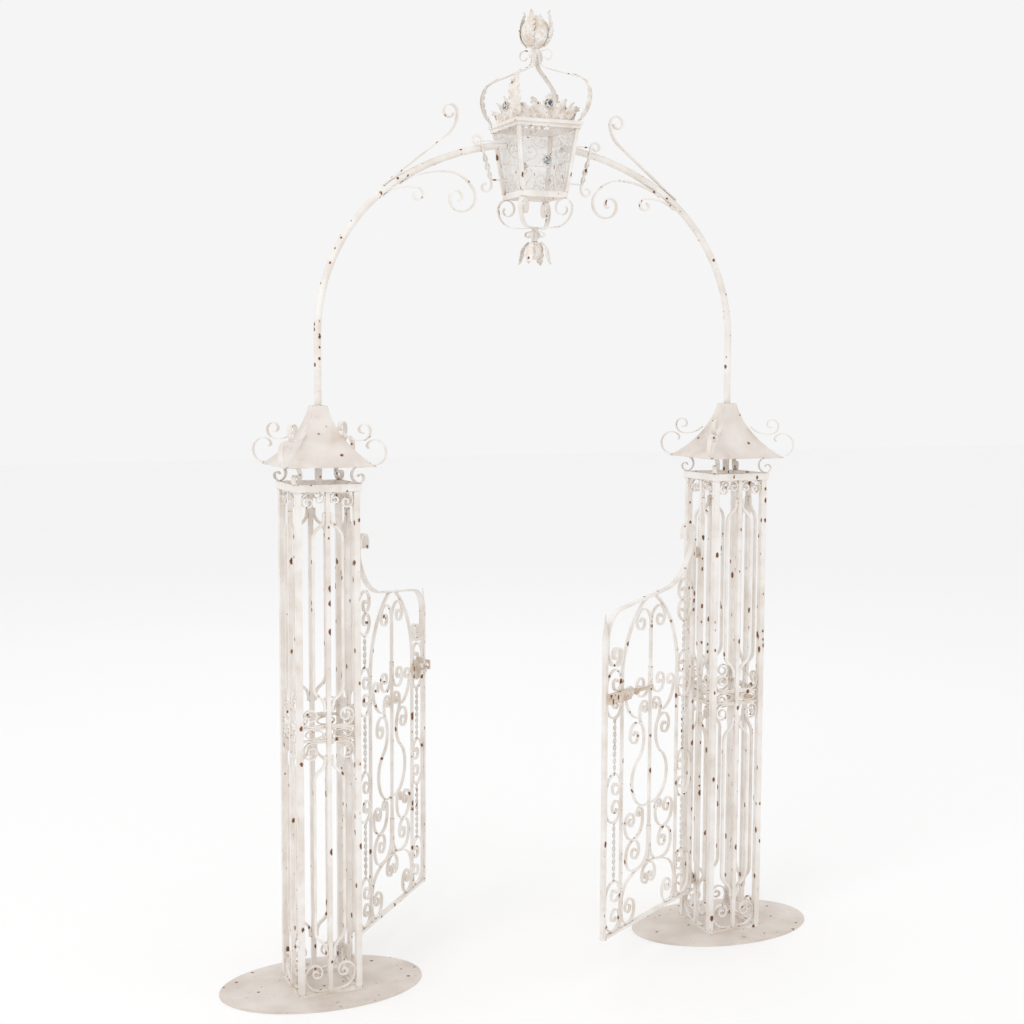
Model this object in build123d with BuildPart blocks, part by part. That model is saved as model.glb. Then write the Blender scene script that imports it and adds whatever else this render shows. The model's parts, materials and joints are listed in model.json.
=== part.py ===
from build123d import *
import os
from math import atan, atan2, cos, degrees, radians, sin, sqrt, tan

# Garden gateway: two openwork towers, an arch with a lantern, and a pair of swinging leaves.
# Millimetres.  +Z is up, +X runs from the left tower to the right one, +Y is the far side.
# The origin is on the ground, midway between the towers, at the centre of the anchor holes.

# ---------------------------------------------------------------- driving dimensions
TOWER_PITCH = 1540.0          # between the two tower axes
TOWER_SIDE = 215.0            # over the corner bars
TOWER_HEIGHT = 1692.0         # ground to the top of the top frame

PLATE_LENGTH = 690.0          # oval base plate, along X
PLATE_DEPTH = 464.0           # oval base plate, along Y
PLATE_THICK = 5.0
ANCHOR_SPACING = 360.0        # front to back, between the anchor holes of one plate
ANCHOR_RADIUS = 7.0

CORNER_BAR = 20.0             # square stock
MID_BAR = 15.0
FLANK_BAR = 9.0
BAND_BAR = 8.0
BOTTOM_FRAME_HIGH = 10.0
TOP_FRAME_HIGH = 24.0
TOP_FRAME_SIDE = 225.0
FRAME_WIDE = 25.0             # width of the flat bar of both frames

BAND_MIDDLE = 877.0           # height of the decorated band of a tower
BAND_GAP = 32.0               # clear between the two bars of the band
BAND_SCROLL_HIGH = 96.0       # of the scrolls above and below the band
TOP_SCROLL_HIGH = 68.0
FOOT_SCROLL_HIGH = 118.0
FLANK_RISE = 72.0             # height in which a flank bar bends over to the mid bar
FLANK_FOOT = 14.0             # stretch that lies against the mid bar

ROOF_SIDE = 303.0             # over the eaves
ROOF_TOP_SIDE = 50.0
ROOF_GAP = 56.0               # eaves above the top frame
ROOF_HIGH = 194.0
ROOF_SAG = 26.0               # how far the roof line hangs in, halfway up
ROOF_SHEET = 2.5

FLAT_THICK = 3.0              # forged flat bar of roof, crown and pendant scrolls
FLAT_WIDE = 16.0

TUBE_RADIUS = 12.0            # arch tube
ARCH_SPRING = 2170.0          # height where the tube starts to bend
ARCH_TOP = 2822.0             # centre line at the crown
ARCH_CROWN_ANGLE = 30.0       # half angle of the flatter middle arc

LANTERN_BOTTOM = 2640.0
LANTERN_TOP = 2892.0
LANTERN_BOTTOM_SIDE = 168.0
LANTERN_TOP_SIDE = 232.0
LANTERN_FOOT_HIGH = 20.0      # the bottom frame
LANTERN_POST = 12.0
LANTERN_PANEL = 2.0
RIM_STEP = 12.0
CRYSTAL_RADIUS = 15.0
CROWN_LEAF_HIGH = 92.0
CROWN_NECK = 3105.0
BUD_BOTTOM = 3140.0
BUD_RADIUS = 50.0
BUD_HIGH = 114.0
GATE_TOP = 3268.0
PENDANT_JOIN = 2543.0
PENDANT_TIP = 2408.0
PENDANT_RADIUS = 32.0
NECK_RADIUS = 11.0
HANGER_AT = 200.0             # where a hanger crosses its tube, from the axis
HANGER_BAR = 7.0
HANGER_LEAN = 8.0             # of its upper part, away from the lantern, in degrees
HANGER_DRAW = 16.0            # of its lower part, towards the lantern
HANGER_FALL = 117.0           # straight stretch below the tube
TIE_HEIGHTS = (2822.0, 2695.0)
TIE_RADIUS = 2.5
COLLAR_HIGH = 20.0
COLLAR_WIDE = 44.0
CRYSTAL_HEIGHT = 52.0         # of the crown's drops above the rim
CRYSTAL_TAPER = 28.0
STAND_OFF = 0.2               # a drop or a hoop's leaf clear of the sheet behind it
HOOP_SET_IN = 8.0             # foot of a hoop from the rim's corner
HOOP_FOOT_LEAN = 37.0         # degrees from level, outward
HOOP_TOP_LEAN = 17.0          # degrees that the upper part rises towards the neck
HOOP_SWELL = 104.0            # radii of the hoop's three bends, from the foot up
HOOP_SHOULDER = 66.0
HOOP_THROAT = 36.0
CROWN_SHEET = 2.0
CROWN_LEAF_WIDE = 196.0
LEAF_SHEET = 2.0
HOOP_LEAF_WIDE = 30.0
BUD_LEAF_WIDE = 26.0

HINGE_OFFSET = 15.0           # from the face of the tower's mid bar to the hinge axis
MEETING_GAP = 8.0             # between the two latch stiles when both leaves are shut
LEAF_BOTTOM = 147.0
LEAF_OPEN_LEFT = 49.0         # the left leaf stands open to the back by this much
LEAF_OPEN_RIGHT = 32.5        # and the right one to the front
STILE = 15.0
RAIL_HIGH = 10.0
HINGE_STILE_TOP = 1446.0
LATCH_STILE_TOP = 1180.0
SPEAR_HIGH = 76.0             # the point on each latch stile
SPEAR_NECK = 10.5
SPEAR_TIP = 1.5
APEX = 1292.0                 # where the pointed arch meets the top rail
ARCH_LEG_TOP = 1006.0         # where its legs start to lean in
LEG_BAR = 8.0
COLUMN_REACH = 114.2          # from the centre of a stile to the centre of the leg beside it
SCROLL_BAR = 5.0              # thickness of the scroll bars in the leaves
SCROLL_WIDE = 10.0
SCROLL_SHRINK = 0.74          # each quarter turn of a scroll to the one before
TWIST_BAR = 7.0
RAIL_THICK = 6.0
RAIL_WIDE = 20.0
VOLUTE_WIDE = 24.0            # the top rail's end, hammered out wide
LOW_ARCH_TOP = 337.0

PIN_RADIUS = 6.0
PIN_CLEAR = 0.08              # radial running clearance in the hinge eyes
EYE_WALL = 5.0
EYE_HIGH = 26.0
HINGE_HEIGHTS = (176.0, 1391.0)
END_PLAY = 0.6                # under each hinge eye

BOLT_HEIGHT = 968.0
BOLT_RADIUS = 6.0
BOLT_THROW = 40.0
CASE_HIGH = 34.0
CASE_THICK = 6.0
SLIDE_CLEAR = 0.08
KEEPER_CLEAR = 0.8
LUG_THICK = 8.0

# ---------------------------------------------------------------- derived sizes
FACE = TOWER_SIDE / 2 - CORNER_BAR / 2            # centre plane of the bars of a tower face
FRAME_TOP = PLATE_THICK + BOTTOM_FRAME_HIGH       # the bars stand on this
BARS_TOP = TOWER_HEIGHT - TOP_FRAME_HIGH          # and end here
HALF_CLEAR = FACE - CORNER_BAR / 2                # mid bar's centre line to the corner bar
CELL = HALF_CLEAR - MID_BAR / 2                   # clear width beside the mid bar
EAVES = TOWER_HEIGHT + ROOF_GAP
HINGE_X = TOWER_PITCH / 2 - FACE - MID_BAR / 2 - HINGE_OFFSET
LEAF_REACH = HINGE_X - MEETING_GAP / 2            # hinge axis to the outside of the latch stile
EYE_RADIUS = PIN_RADIUS + PIN_CLEAR + EYE_WALL
HINGE_STILE_AT = EYE_RADIUS + 1.5 + STILE / 2     # centre of the hinge stile
LATCH_STILE_AT = LEAF_REACH - STILE / 2
LEAF_MIDDLE = (HINGE_STILE_AT + LATCH_STILE_AT) / 2
LEG_REACH = LATCH_STILE_AT - LEAF_MIDDLE - COLUMN_REACH        # from the centre bar to each leg
RAIL_TOP = LEAF_BOTTOM + RAIL_HIGH / 2
PENDANT_DROP = LANTERN_BOTTOM - PENDANT_JOIN - FLAT_THICK / 2
LANTERN_SLOPE = (LANTERN_TOP_SIDE - LANTERN_BOTTOM_SIDE) / 2 / (LANTERN_TOP - LANTERN_BOTTOM)
SIDES = (("left", -1), ("right", 1))
QUARTERS = (0, 90, 180, 270)


# ---------------------------------------------------------------- bent flat bar
def run(start, heading, bends, shift):
    """Draw one edge of a bent bar, shifted to the left of its centre line.

    Each bend is (radius, sweep) with a left turn positive, or (length, 0) for a straight.
    """
    angle = radians(heading)
    point = Vector(start[0] - shift * sin(angle), start[1] + shift * cos(angle))
    first = point
    for size, sweep in bends:
        tangent = Vector(cos(angle), sin(angle))
        if sweep == 0:
            edge = Line(point, point + tangent * size)
        else:
            radius = size - shift if sweep > 0 else size + shift
            edge = JernArc(start=point, tangent=tangent, radius=radius, arc_size=sweep)
        point = edge @ 1
        angle += radians(sweep)
    return first, point


def end_of(start, heading, bends):
    """Where a bent bar ends, and its heading there."""
    x, y = start
    for size, sweep in bends:
        turn = radians(heading)
        after = radians(heading + sweep)
        if sweep == 0:
            x, y = x + size * cos(turn), y + size * sin(turn)
        else:
            side = 1 if sweep > 0 else -1
            x += side * size * (sin(after) - sin(turn))
            y += side * size * (cos(turn) - cos(after))
        heading += sweep
    return (x, y), heading


def ribbon(start, heading, bends, thick=SCROLL_BAR):
    """Add the side view of a bent bar to the sketch that is being made."""
    with BuildLine() as outline:
        left_start, left_end = run(start, heading, bends, thick / 2)
        right_start, right_end = run(start, heading, bends, -thick / 2)
        Line(left_start, right_start)
        Line(left_end, right_end)
    make_face(outline.edges())


def flipped(start, heading, bends):
    """The same bar, mirrored left to right."""
    return (-start[0], start[1]), 180 - heading, [(size, -sweep) for size, sweep in bends]


def moved(bar, along):
    """The same bar, shifted along the sketch's first axis."""
    start, heading, bends = bar
    return (start[0] + along, start[1]), heading, bends


def volute(radius, quarters, turn=1, shrink=SCROLL_SHRINK):
    """A spiral of quarter circles, each smaller than the last; turn is 1 for left."""
    return [(radius * shrink ** step, 90 * turn) for step in range(quarters)]


def shift_over(shift, rise):
    """An S of two equal arcs that moves an upright bar sideways; a plus shift is to the right."""
    sweep = 2 * degrees(atan(abs(shift) / rise))
    radius = rise / (2 * sin(radians(sweep)))
    turn = -1 if shift > 0 else 1
    return [(radius, turn * sweep), (radius, -turn * sweep)]


def c_scroll(back, middle, height, width, turn, thick=SCROLL_BAR, quarters=6):
    """Two mirrored halves of an upright C whose outline is height by width."""
    first = (width - thick) / (1 + SCROLL_SHRINK)
    straight = height / 2 - first - thick / 2
    upper = [(straight, 0)] + volute(first, quarters, turn)
    lower = [(straight, 0)] + volute(first, quarters, -turn)
    return [((back, middle), 90, upper), ((back, middle), -90, lower)]


def draw(bars, thick=SCROLL_BAR):
    """Add several bent bars to the sketch that is being made."""
    for start, heading, bends in bars:
        ribbon(start, heading, bends, thick)


# ---------------------------------------------------------------- planes
def upright(x, y, facing, out=0.0):
    """An upright sketch plane through (x, y), facing the given way; sketch Y is height."""
    normal = Vector(cos(radians(facing)), sin(radians(facing)), 0)
    across = Vector(-normal.Y, normal.X, 0)
    return Plane(origin=Vector(x, y, 0) + normal * out, x_dir=across, z_dir=normal)


def radial(x, y, bearing):
    """An upright plane that holds the vertical axis at (x, y); sketch X runs outward."""
    outward = Vector(cos(radians(bearing)), sin(radians(bearing)), 0)
    return Plane(origin=(x, y, 0), x_dir=outward, z_dir=(outward.Y, -outward.X, 0))


def save(part, name):
    """Label a finished piece and write it."""
    part.label = name
    export_step(part, f"parts/{name}.step")


# ---------------------------------------------------------------- towers
def base_plate(x):
    with BuildPart() as plate:
        with BuildSketch(Plane.XY):
            with Locations((x, 0)):
                Ellipse(PLATE_LENGTH / 2, PLATE_DEPTH / 2)
            with Locations((x, -ANCHOR_SPACING / 2), (x, ANCHOR_SPACING / 2)):
                Circle(ANCHOR_RADIUS, mode=Mode.SUBTRACT)
        extrude(amount=PLATE_THICK)
    return plate.part


def square_frame(x, side, bottom, height):
    with BuildPart() as frame:
        with BuildSketch(Plane.XY.offset(bottom)):
            with Locations((x, 0)):
                Rectangle(side, side)
                Rectangle(side - 2 * FRAME_WIDE, side - 2 * FRAME_WIDE, mode=Mode.SUBTRACT)
        extrude(amount=height)
    return frame.part


def corner_bars(x):
    with BuildPart() as bars:
        with BuildSketch(Plane.XY.offset(FRAME_TOP)):
            with Locations((x, 0)):
                with GridLocations(2 * FACE, 2 * FACE, 2, 2):
                    Rectangle(CORNER_BAR, CORNER_BAR)
        extrude(amount=BARS_TOP - FRAME_TOP)
    return bars.part


def mid_bars(x):
    with BuildPart() as bars:
        with BuildSketch(Plane.XY.offset(FRAME_TOP)):
            with Locations((x, 0)):
                with PolarLocations(FACE, 4):
                    Rectangle(MID_BAR, MID_BAR)
        extrude(amount=BARS_TOP - FRAME_TOP)
    return bars.part


def flank_bars(x):
    """Thin bars that stand beside each mid bar and bend over to it at both ends."""
    close = MID_BAR / 2 + FLANK_BAR / 2
    away = HALF_CLEAR / 2 + close / 2
    band_low = BAND_MIDDLE - BAND_GAP / 2 - BAND_BAR - BAND_SCROLL_HIGH / 2
    band_high = BAND_MIDDLE + BAND_GAP / 2 + BAND_BAR + BAND_SCROLL_HIGH / 2
    spans = ((FRAME_TOP + FOOT_SCROLL_HIGH, band_low), (band_high, BARS_TOP - TOP_SCROLL_HIGH))
    with BuildPart() as bars:
        for facing in QUARTERS:
            with BuildSketch(upright(x, 0, facing, FACE)):
                for low, high in spans:
                    straight = high - low - 2 * FLANK_RISE - 2 * FLANK_FOOT
                    bends = [(FLANK_FOOT, 0)] + shift_over(away - close, FLANK_RISE)
                    bends += [(straight, 0)] + shift_over(close - away, FLANK_RISE)
                    bends += [(FLANK_FOOT, 0)]
                    bar = ((close, low), 90, bends)
                    draw([bar, flipped(*bar)], FLANK_BAR)
            extrude(amount=FLANK_BAR / 2, both=True)
    return bars.part


def mid_band(x):
    """Two level bars on each face, cut between the uprights, with oval rings between them."""
    levels = (BAND_MIDDLE - (BAND_GAP + BAND_BAR) / 2, BAND_MIDDLE + (BAND_GAP + BAND_BAR) / 2)
    with BuildPart() as band:
        for facing in QUARTERS:
            with BuildSketch(upright(x, 0, facing, FACE)):
                for middle in (-MID_BAR / 2 - CELL / 2, MID_BAR / 2 + CELL / 2):
                    for level in levels:
                        with Locations((middle, level)):
                            Rectangle(CELL, BAND_BAR)
                    with Locations((middle, BAND_MIDDLE)):
                        Ellipse(CELL * 0.4, BAND_GAP / 2)
                        Ellipse(CELL * 0.4 - SCROLL_BAR, BAND_GAP / 2 - SCROLL_BAR, mode=Mode.SUBTRACT)
            extrude(amount=BAND_BAR / 2, both=True)
    return band.part


def face_scrolls(x):
    """The scrolls of one tower: at the foot, on both sides of the band and under the top."""
    inner = MID_BAR / 2
    wide = CELL - SCROLL_BAR
    foot_radius = wide * 0.72
    foot = ((inner, FRAME_TOP + SCROLL_BAR / 2), 0,
            [(CELL - foot_radius - SCROLL_BAR / 2, 0), (foot_radius, 90)] + volute(wide * 0.44, 6))
    band_top = BAND_MIDDLE + BAND_GAP / 2 + BAND_BAR
    band_bottom = BAND_MIDDLE - BAND_GAP / 2 - BAND_BAR
    band_radius = wide * 0.4
    reach = inner + CELL - band_radius - SCROLL_BAR / 2
    above = ((reach, band_top + SCROLL_BAR / 2), 0, volute(band_radius, 6, 1, 0.82))
    above_foot = ((reach, band_top + SCROLL_BAR / 2), 180, [(reach - inner, 0)])
    below = ((reach, band_bottom - SCROLL_BAR / 2), 0, volute(band_radius, 6, -1, 0.82))
    below_foot = ((reach, band_bottom - SCROLL_BAR / 2), 180, [(reach - inner, 0)])
    top = BARS_TOP - SCROLL_BAR / 2
    outer_radius = wide * 0.36
    inner_radius = wide * 0.26
    outer_end = ((inner + CELL / 2, top), 0,
                 [(CELL / 2 - outer_radius - SCROLL_BAR / 2, 0)] + volute(outer_radius, 6, -1))
    inner_end = ((inner + CELL / 2, top), 180,
                 [(CELL / 2 - inner_radius - SCROLL_BAR / 2, 0)] + volute(inner_radius, 5))
    bars = [foot, above, above_foot, below, below_foot, outer_end, inner_end]
    with BuildPart() as scrolls:
        for facing in QUARTERS:
            with BuildSketch(upright(x, 0, facing, FACE)):
                draw(bars)
                draw([flipped(*bar) for bar in bars])
            extrude(amount=SCROLL_WIDE / 2, both=True)
    return scrolls.part


def roof_profile(shrink):
    """Half of the roof's section, closed, taken in by shrink."""
    low = ROOF_SIDE / 2 - shrink * 1.6
    high = ROOF_TOP_SIDE / 2 - shrink
    middle = (ROOF_SIDE + ROOF_TOP_SIDE) / 4 - ROOF_SAG - shrink
    with BuildLine() as outline:
        ThreePointArc((low, EAVES), (middle, EAVES + ROOF_HIGH / 2), (high, EAVES + ROOF_HIGH))
        Line((high, EAVES + ROOF_HIGH), (-high, EAVES + ROOF_HIGH))
        ThreePointArc((-high, EAVES + ROOF_HIGH), (-middle, EAVES + ROOF_HIGH / 2), (-low, EAVES))
        Line((-low, EAVES), (low, EAVES))
    make_face(outline.edges())


def roof_body(x, shrink):
    """A four-sided roof with hollow curves: two profiles crossed at right angles."""
    with BuildPart() as body:
        with BuildSketch(upright(x, 0, -90)):
            roof_profile(shrink)
        extrude(amount=ROOF_SIDE, both=True)
        with BuildSketch(upright(x, 0, 0)):
            roof_profile(shrink)
        extrude(amount=ROOF_SIDE, both=True, mode=Mode.INTERSECT)
    return body.part


def roof(x):
    """Thin sheet roof, open underneath and at the top where the arch tube comes down."""
    inside = roof_body(x, ROOF_SHEET)
    with BuildPart() as sheet:
        add(roof_body(x, 0))
        add(inside, mode=Mode.SUBTRACT)
    return sheet.part


def roof_scrolls(x):
    """At each corner: a bracket under the eaves, a loop at the tip and an S on the ridge."""
    tip = ROOF_SIDE / sqrt(2)
    half = FLAT_THICK / 2
    bend = (ROOF_GAP - FLAT_THICK) / 2
    bracket = ((tip - 49, EAVES - half), 180,
               [(17, 0), (bend, 90), (bend, 90), (17, 90), (12, 90), (8, 90)])
    loop = ((tip - 10, EAVES + 6), 0, [(41, 90), (40, 90), (32, 56), (9, 110)])
    ridge = ((tip - 124, EAVES + 109), -46, [(84, 56), (30, 80), (23, 90), (18, 90), (12, 110)])
    with BuildPart() as scrolls:
        for bearing in QUARTERS:
            with BuildSketch(radial(x, 0, bearing + 45)):
                draw([bracket], FLAT_THICK)
            extrude(amount=FLAT_WIDE / 2, both=True)
            with BuildSketch(radial(x, 0, bearing + 45)):
                draw([loop, ridge], FLAT_THICK)
            extrude(amount=FLAT_WIDE / 2, both=True)
    return scrolls.part


# ---------------------------------------------------------------- arch
def arch_radii():
    """Radii of the haunch and crown arcs that fit the span and the rise."""
    half = TOWER_PITCH / 2
    rise = ARCH_TOP - ARCH_SPRING
    bend = radians(ARCH_CROWN_ANGLE)
    a, b = 1 - sin(bend), sin(bend)
    c, d = cos(bend), 1 - cos(bend)
    haunch = (half * d - rise * b) / (a * d - b * c)
    crown = (half - haunch * a) / b
    return haunch, crown


def on_haunch(angle, out):
    """A point beside the right haunch of the arch and the heading there, towards the crown."""
    haunch, _ = arch_radii()
    radius = haunch + out
    turn = radians(angle)
    point = (TOWER_PITCH / 2 - haunch + radius * cos(turn), ARCH_SPRING + radius * sin(turn))
    return point, 90 + angle


def lantern_half(height):
    """Half the outside width of the lantern's posts at a height."""
    return LANTERN_BOTTOM_SIDE / 2 + (height - LANTERN_BOTTOM) * LANTERN_SLOPE


def arch_tubes():
    """The bent tube: up from each tower through its roof to the side of the lantern."""
    haunch, crown = arch_radii()
    end = lantern_half(ARCH_TOP) + TUBE_RADIUS * LANTERN_SLOPE
    cut = degrees(atan2(end, sqrt(crown ** 2 - end ** 2)))
    leg = ((TOWER_PITCH / 2, BARS_TOP), (TOWER_PITCH / 2, ARCH_SPRING))
    with BuildPart() as tubes:
        with BuildLine() as path:
            Line(Vector(leg[0][0], 0, leg[0][1]), Vector(leg[1][0], 0, leg[1][1]))
            low, _ = on_haunch(45 - ARCH_CROWN_ANGLE / 2, 0)
            top, _ = on_haunch(90 - ARCH_CROWN_ANGLE, 0)
            ThreePointArc(leg_point(leg[1]), leg_point(low), leg_point(top))
            middle = radians((ARCH_CROWN_ANGLE + cut) / 2)
            last = radians(cut)
            base = ARCH_TOP - crown
            ThreePointArc(leg_point(top),
                          leg_point((crown * sin(middle), base + crown * cos(middle))),
                          leg_point((crown * sin(last), base + crown * cos(last))))
        with BuildSketch(Plane.XY.offset(BARS_TOP)):
            with Locations((TOWER_PITCH / 2, 0)):
                Circle(TUBE_RADIUS)
        sweep(path=path.line)
        mirror(about=Plane.YZ)
    return tubes.part


def leg_point(pair):
    """A point of the gate's middle plane from its X and its height."""
    return Vector(pair[0], 0, pair[1])


def arch_scrolls():
    """Three thin scrolls beside the lantern on each side of the arch."""
    half = TUBE_RADIUS + SCROLL_BAR / 2
    above, above_heading = on_haunch(52, half)
    under, under_heading = on_haunch(57, -half)
    lower, lower_heading = on_haunch(50, -half)
    upper = (above, above_heading, [(285, 0), (95, -52), (26, -90), (23, -90), (20, -90), (15, -90)])
    large = (under, under_heading, [(300, 33), (110, 60), (50, 120), (42, 90), (26, 90), (19, 90),
                                    (13, 90)])
    small = (lower, lower_heading, [(150, 40), (20, 0), (22, 90), (19, 90), (15, 90), (10, 90)])
    with BuildPart() as scrolls:
        for bar in (upper, large, small):
            with BuildSketch(upright(0, 0, -90)):
                draw([bar, flipped(*bar)])
            extrude(amount=FLAT_WIDE / 2, both=True)
    return scrolls.part


def hanger_bars():
    """The upper and the lower half of the right-hand hanger, from where it crosses the tube."""
    _, crown = arch_radii()
    crossing = (HANGER_AT, ARCH_TOP - crown + sqrt(crown ** 2 - HANGER_AT ** 2))
    up = (crossing, 90 - HANGER_LEAN,
          [(24, 0), (17, HANGER_LEAN - 90), (15, -90), (12, -90), (9, -90)])
    down = (crossing, 270 - HANGER_DRAW,
            [(HANGER_FALL, 0), (30, 50), (17, 90), (13, 90), (10, 90)])
    return up, down


def lantern_hangers():
    """A curled bar across the front of each tube end, with two tie rods to the lantern."""
    up, down = hanger_bars()
    front = TUBE_RADIUS + HANGER_BAR / 2
    with BuildPart() as hangers:
        with BuildSketch(upright(0, 0, -90, front)):
            draw([up, down], HANGER_BAR)
            draw([flipped(*up), flipped(*down)], HANGER_BAR)
        extrude(amount=HANGER_BAR / 2, both=True)
        for height in TIE_HEIGHTS:
            rise = height - up[0][1]
            lean = HANGER_LEAN if rise > 0 else HANGER_DRAW
            near = lantern_half(height)
            reach = HANGER_AT + rise * tan(radians(lean))
            for _, side in SIDES:
                with BuildSketch(upright(0, -front, 0 if side > 0 else 180, near)):
                    with Locations((0, height)):
                        Circle(TIE_RADIUS)
                extrude(amount=reach - near)
    return hangers.part


# ---------------------------------------------------------------- lantern
def square_ring(side, hole, bottom, height):
    with BuildPart() as ring:
        with BuildSketch(Plane.XY.offset(bottom)):
            Rectangle(side, side)
            Rectangle(hole, hole, mode=Mode.SUBTRACT)
        extrude(amount=height)
    return ring.part


def lantern_rim():
    """The stepped square rim that carries the crown."""
    hole = LANTERN_TOP_SIDE - 2 * LANTERN_POST - 6
    with BuildPart() as rim:
        add(square_ring(LANTERN_TOP_SIDE, hole, LANTERN_TOP - 2 * RIM_STEP, RIM_STEP))
        add(square_ring(LANTERN_TOP_SIDE + RIM_STEP, hole, LANTERN_TOP - RIM_STEP, RIM_STEP))
    return rim.part


def lantern_bottom():
    hole = LANTERN_BOTTOM_SIDE - 2 * LANTERN_POST
    return square_ring(LANTERN_BOTTOM_SIDE, hole, LANTERN_BOTTOM, LANTERN_FOOT_HIGH)


def lantern_frame():
    """Four leaning posts, and the cross rails at the sides that take the tube ends."""
    low, high = LANTERN_BOTTOM + LANTERN_FOOT_HIGH, LANTERN_TOP - 2 * RIM_STEP
    with BuildPart() as posts:
        for across in (-1, 1):
            for deep in (-1, 1):
                faces = []
                for height in (low, high):
                    place = lantern_half(height) - LANTERN_POST / 2
                    with BuildSketch(Plane.XY.offset(height)) as section:
                        with Locations((across * place, deep * place)):
                            Rectangle(LANTERN_POST, LANTERN_POST)
                    faces.append(section.sketch)
                loft(sections=faces)
        add(tube_rails())
    return posts.part


def panel_section(height, facing):
    """The cut through one side panel at a height."""
    reach = lantern_half(height)
    turn = radians(facing)
    place = reach - LANTERN_POST / 2
    with BuildSketch(Plane.XY.offset(height)) as section:
        with Locations(Location((place * cos(turn), place * sin(turn), 0), (0, 0, facing))):
            Rectangle(LANTERN_PANEL, 2 * (reach - LANTERN_POST))
    return section.sketch


def lantern_panels():
    """Four thin pierced sheets between the posts, on the posts' centre planes."""
    low, high = LANTERN_BOTTOM + LANTERN_FOOT_HIGH, LANTERN_TOP - 2 * RIM_STEP
    with BuildPart() as panels:
        for facing in QUARTERS:
            loft(sections=[panel_section(low, facing), panel_section(high, facing)])
    return panels.part


def tube_rails():
    """The cross rail on each side of the lantern that takes the end of the arch tube."""
    low, high = ARCH_TOP - COLLAR_HIGH, ARCH_TOP + COLLAR_HIGH - 2 * TUBE_RADIUS
    with BuildPart() as collars:
        for facing in (0, 180):
            faces = []
            for height in (low, high):
                place = lantern_half(height) - (LANTERN_POST / 2 - LANTERN_PANEL / 2) / 2
                turn = radians(facing)
                with BuildSketch(Plane.XY.offset(height)) as section:
                    with Locations((place * cos(turn), 0)):
                        Rectangle((LANTERN_POST - LANTERN_PANEL) / 2, COLLAR_WIDE)
                faces.append(section.sketch)
            loft(sections=faces)
    return collars.part


def crystals():
    """Faceted drops, flat at the back: one on each panel and one on each side of the crown."""
    lean = degrees(atan(LANTERN_SLOPE))
    middle = (LANTERN_BOTTOM + LANTERN_TOP) / 2 - 6
    with BuildPart() as drops:
        for facing in QUARTERS:
            turn = radians(facing)
            outward = Vector(cos(turn), sin(turn), 0)
            panel = lantern_half(middle) - LANTERN_POST / 2 + LANTERN_PANEL / 2 + STAND_OFF
            if facing in (90, 270):
                normal = outward * cos(radians(lean)) - Vector(0, 0, sin(radians(lean)))
                place = outward * panel + Vector(0, 0, middle)
                drop(Plane(origin=place, z_dir=normal))
            crown = crown_face() + CROWN_SHEET + STAND_OFF
            place = outward * crown + Vector(0, 0, LANTERN_TOP + CRYSTAL_HEIGHT)
            drop(Plane(origin=place, z_dir=outward))
    return drops.part


def drop(plane):
    """Add one bevelled drop standing on a plane."""
    with BuildSketch(plane) as foot:
        RegularPolygon(CRYSTAL_RADIUS, 8)
    extrude(foot.sketch, amount=CRYSTAL_RADIUS, taper=CRYSTAL_TAPER)


# ---------------------------------------------------------------- crown, finial, pendant
def crown_face():
    """Distance from the axis to the inner face of the crown's leaf plates."""
    return LANTERN_TOP_SIDE / 2 - LANTERN_POST


def crown_leaves():
    """A pierced plate of leaves along each side of the rim, and a leaf on each hoop."""
    half = CROWN_LEAF_WIDE / 2
    rise = CROWN_LEAF_HIGH
    with BuildPart() as leaves:
        for facing in QUARTERS:
            with BuildSketch(upright(0, 0, facing, crown_face())):
                with BuildLine() as outline:
                    foot = Line((-half, LANTERN_TOP), (half, LANTERN_TOP))
                    right = Line(foot @ 1, (half, LANTERN_TOP + rise * 0.66))
                    dip = SagittaArc(right @ 1, (half * 0.3, LANTERN_TOP + rise * 0.86), 12)
                    peak = SagittaArc(dip @ 1, (-half * 0.3, LANTERN_TOP + rise * 0.86), -12)
                    rest = SagittaArc(peak @ 1, (-half, LANTERN_TOP + rise * 0.66), 12)
                    Line(rest @ 1, foot @ 0)
                make_face(outline.edges())
            extrude(amount=CROWN_SHEET)
        add(hoop_leaves())
    return leaves.part


def hoop_route():
    """The bends of a crown hoop, from the rim corner to the neck, in its radial plane."""
    start = LANTERN_TOP_SIDE / sqrt(2) - HOOP_SET_IN
    foot, top = radians(HOOP_FOOT_LEAN), radians(HOOP_TOP_LEAN)
    out = HOOP_SWELL * (1 - sin(foot))
    back = (HOOP_SHOULDER + HOOP_THROAT) * (1 - sin(top))
    straight = (start + out - back - NECK_RADIUS - FLAT_THICK / 2) / cos(top)
    bends = [(HOOP_SWELL, 90 - HOOP_FOOT_LEAN), (HOOP_SHOULDER, 90 - HOOP_TOP_LEAN),
             (straight, 0), (HOOP_THROAT, HOOP_TOP_LEAN - 90), (10, 0)]
    return (start, LANTERN_TOP + FLAT_THICK), HOOP_FOOT_LEAN, bends


def crown_hoops():
    """Four flat hoops that bulge out from the rim corners and gather under the finial."""
    with BuildPart() as hoops:
        for bearing in QUARTERS:
            with BuildSketch(radial(0, 0, bearing + 45)):
                draw([hoop_route()], FLAT_THICK)
            extrude(amount=FLAT_WIDE / 2, both=True)
    return hoops.part


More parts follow.
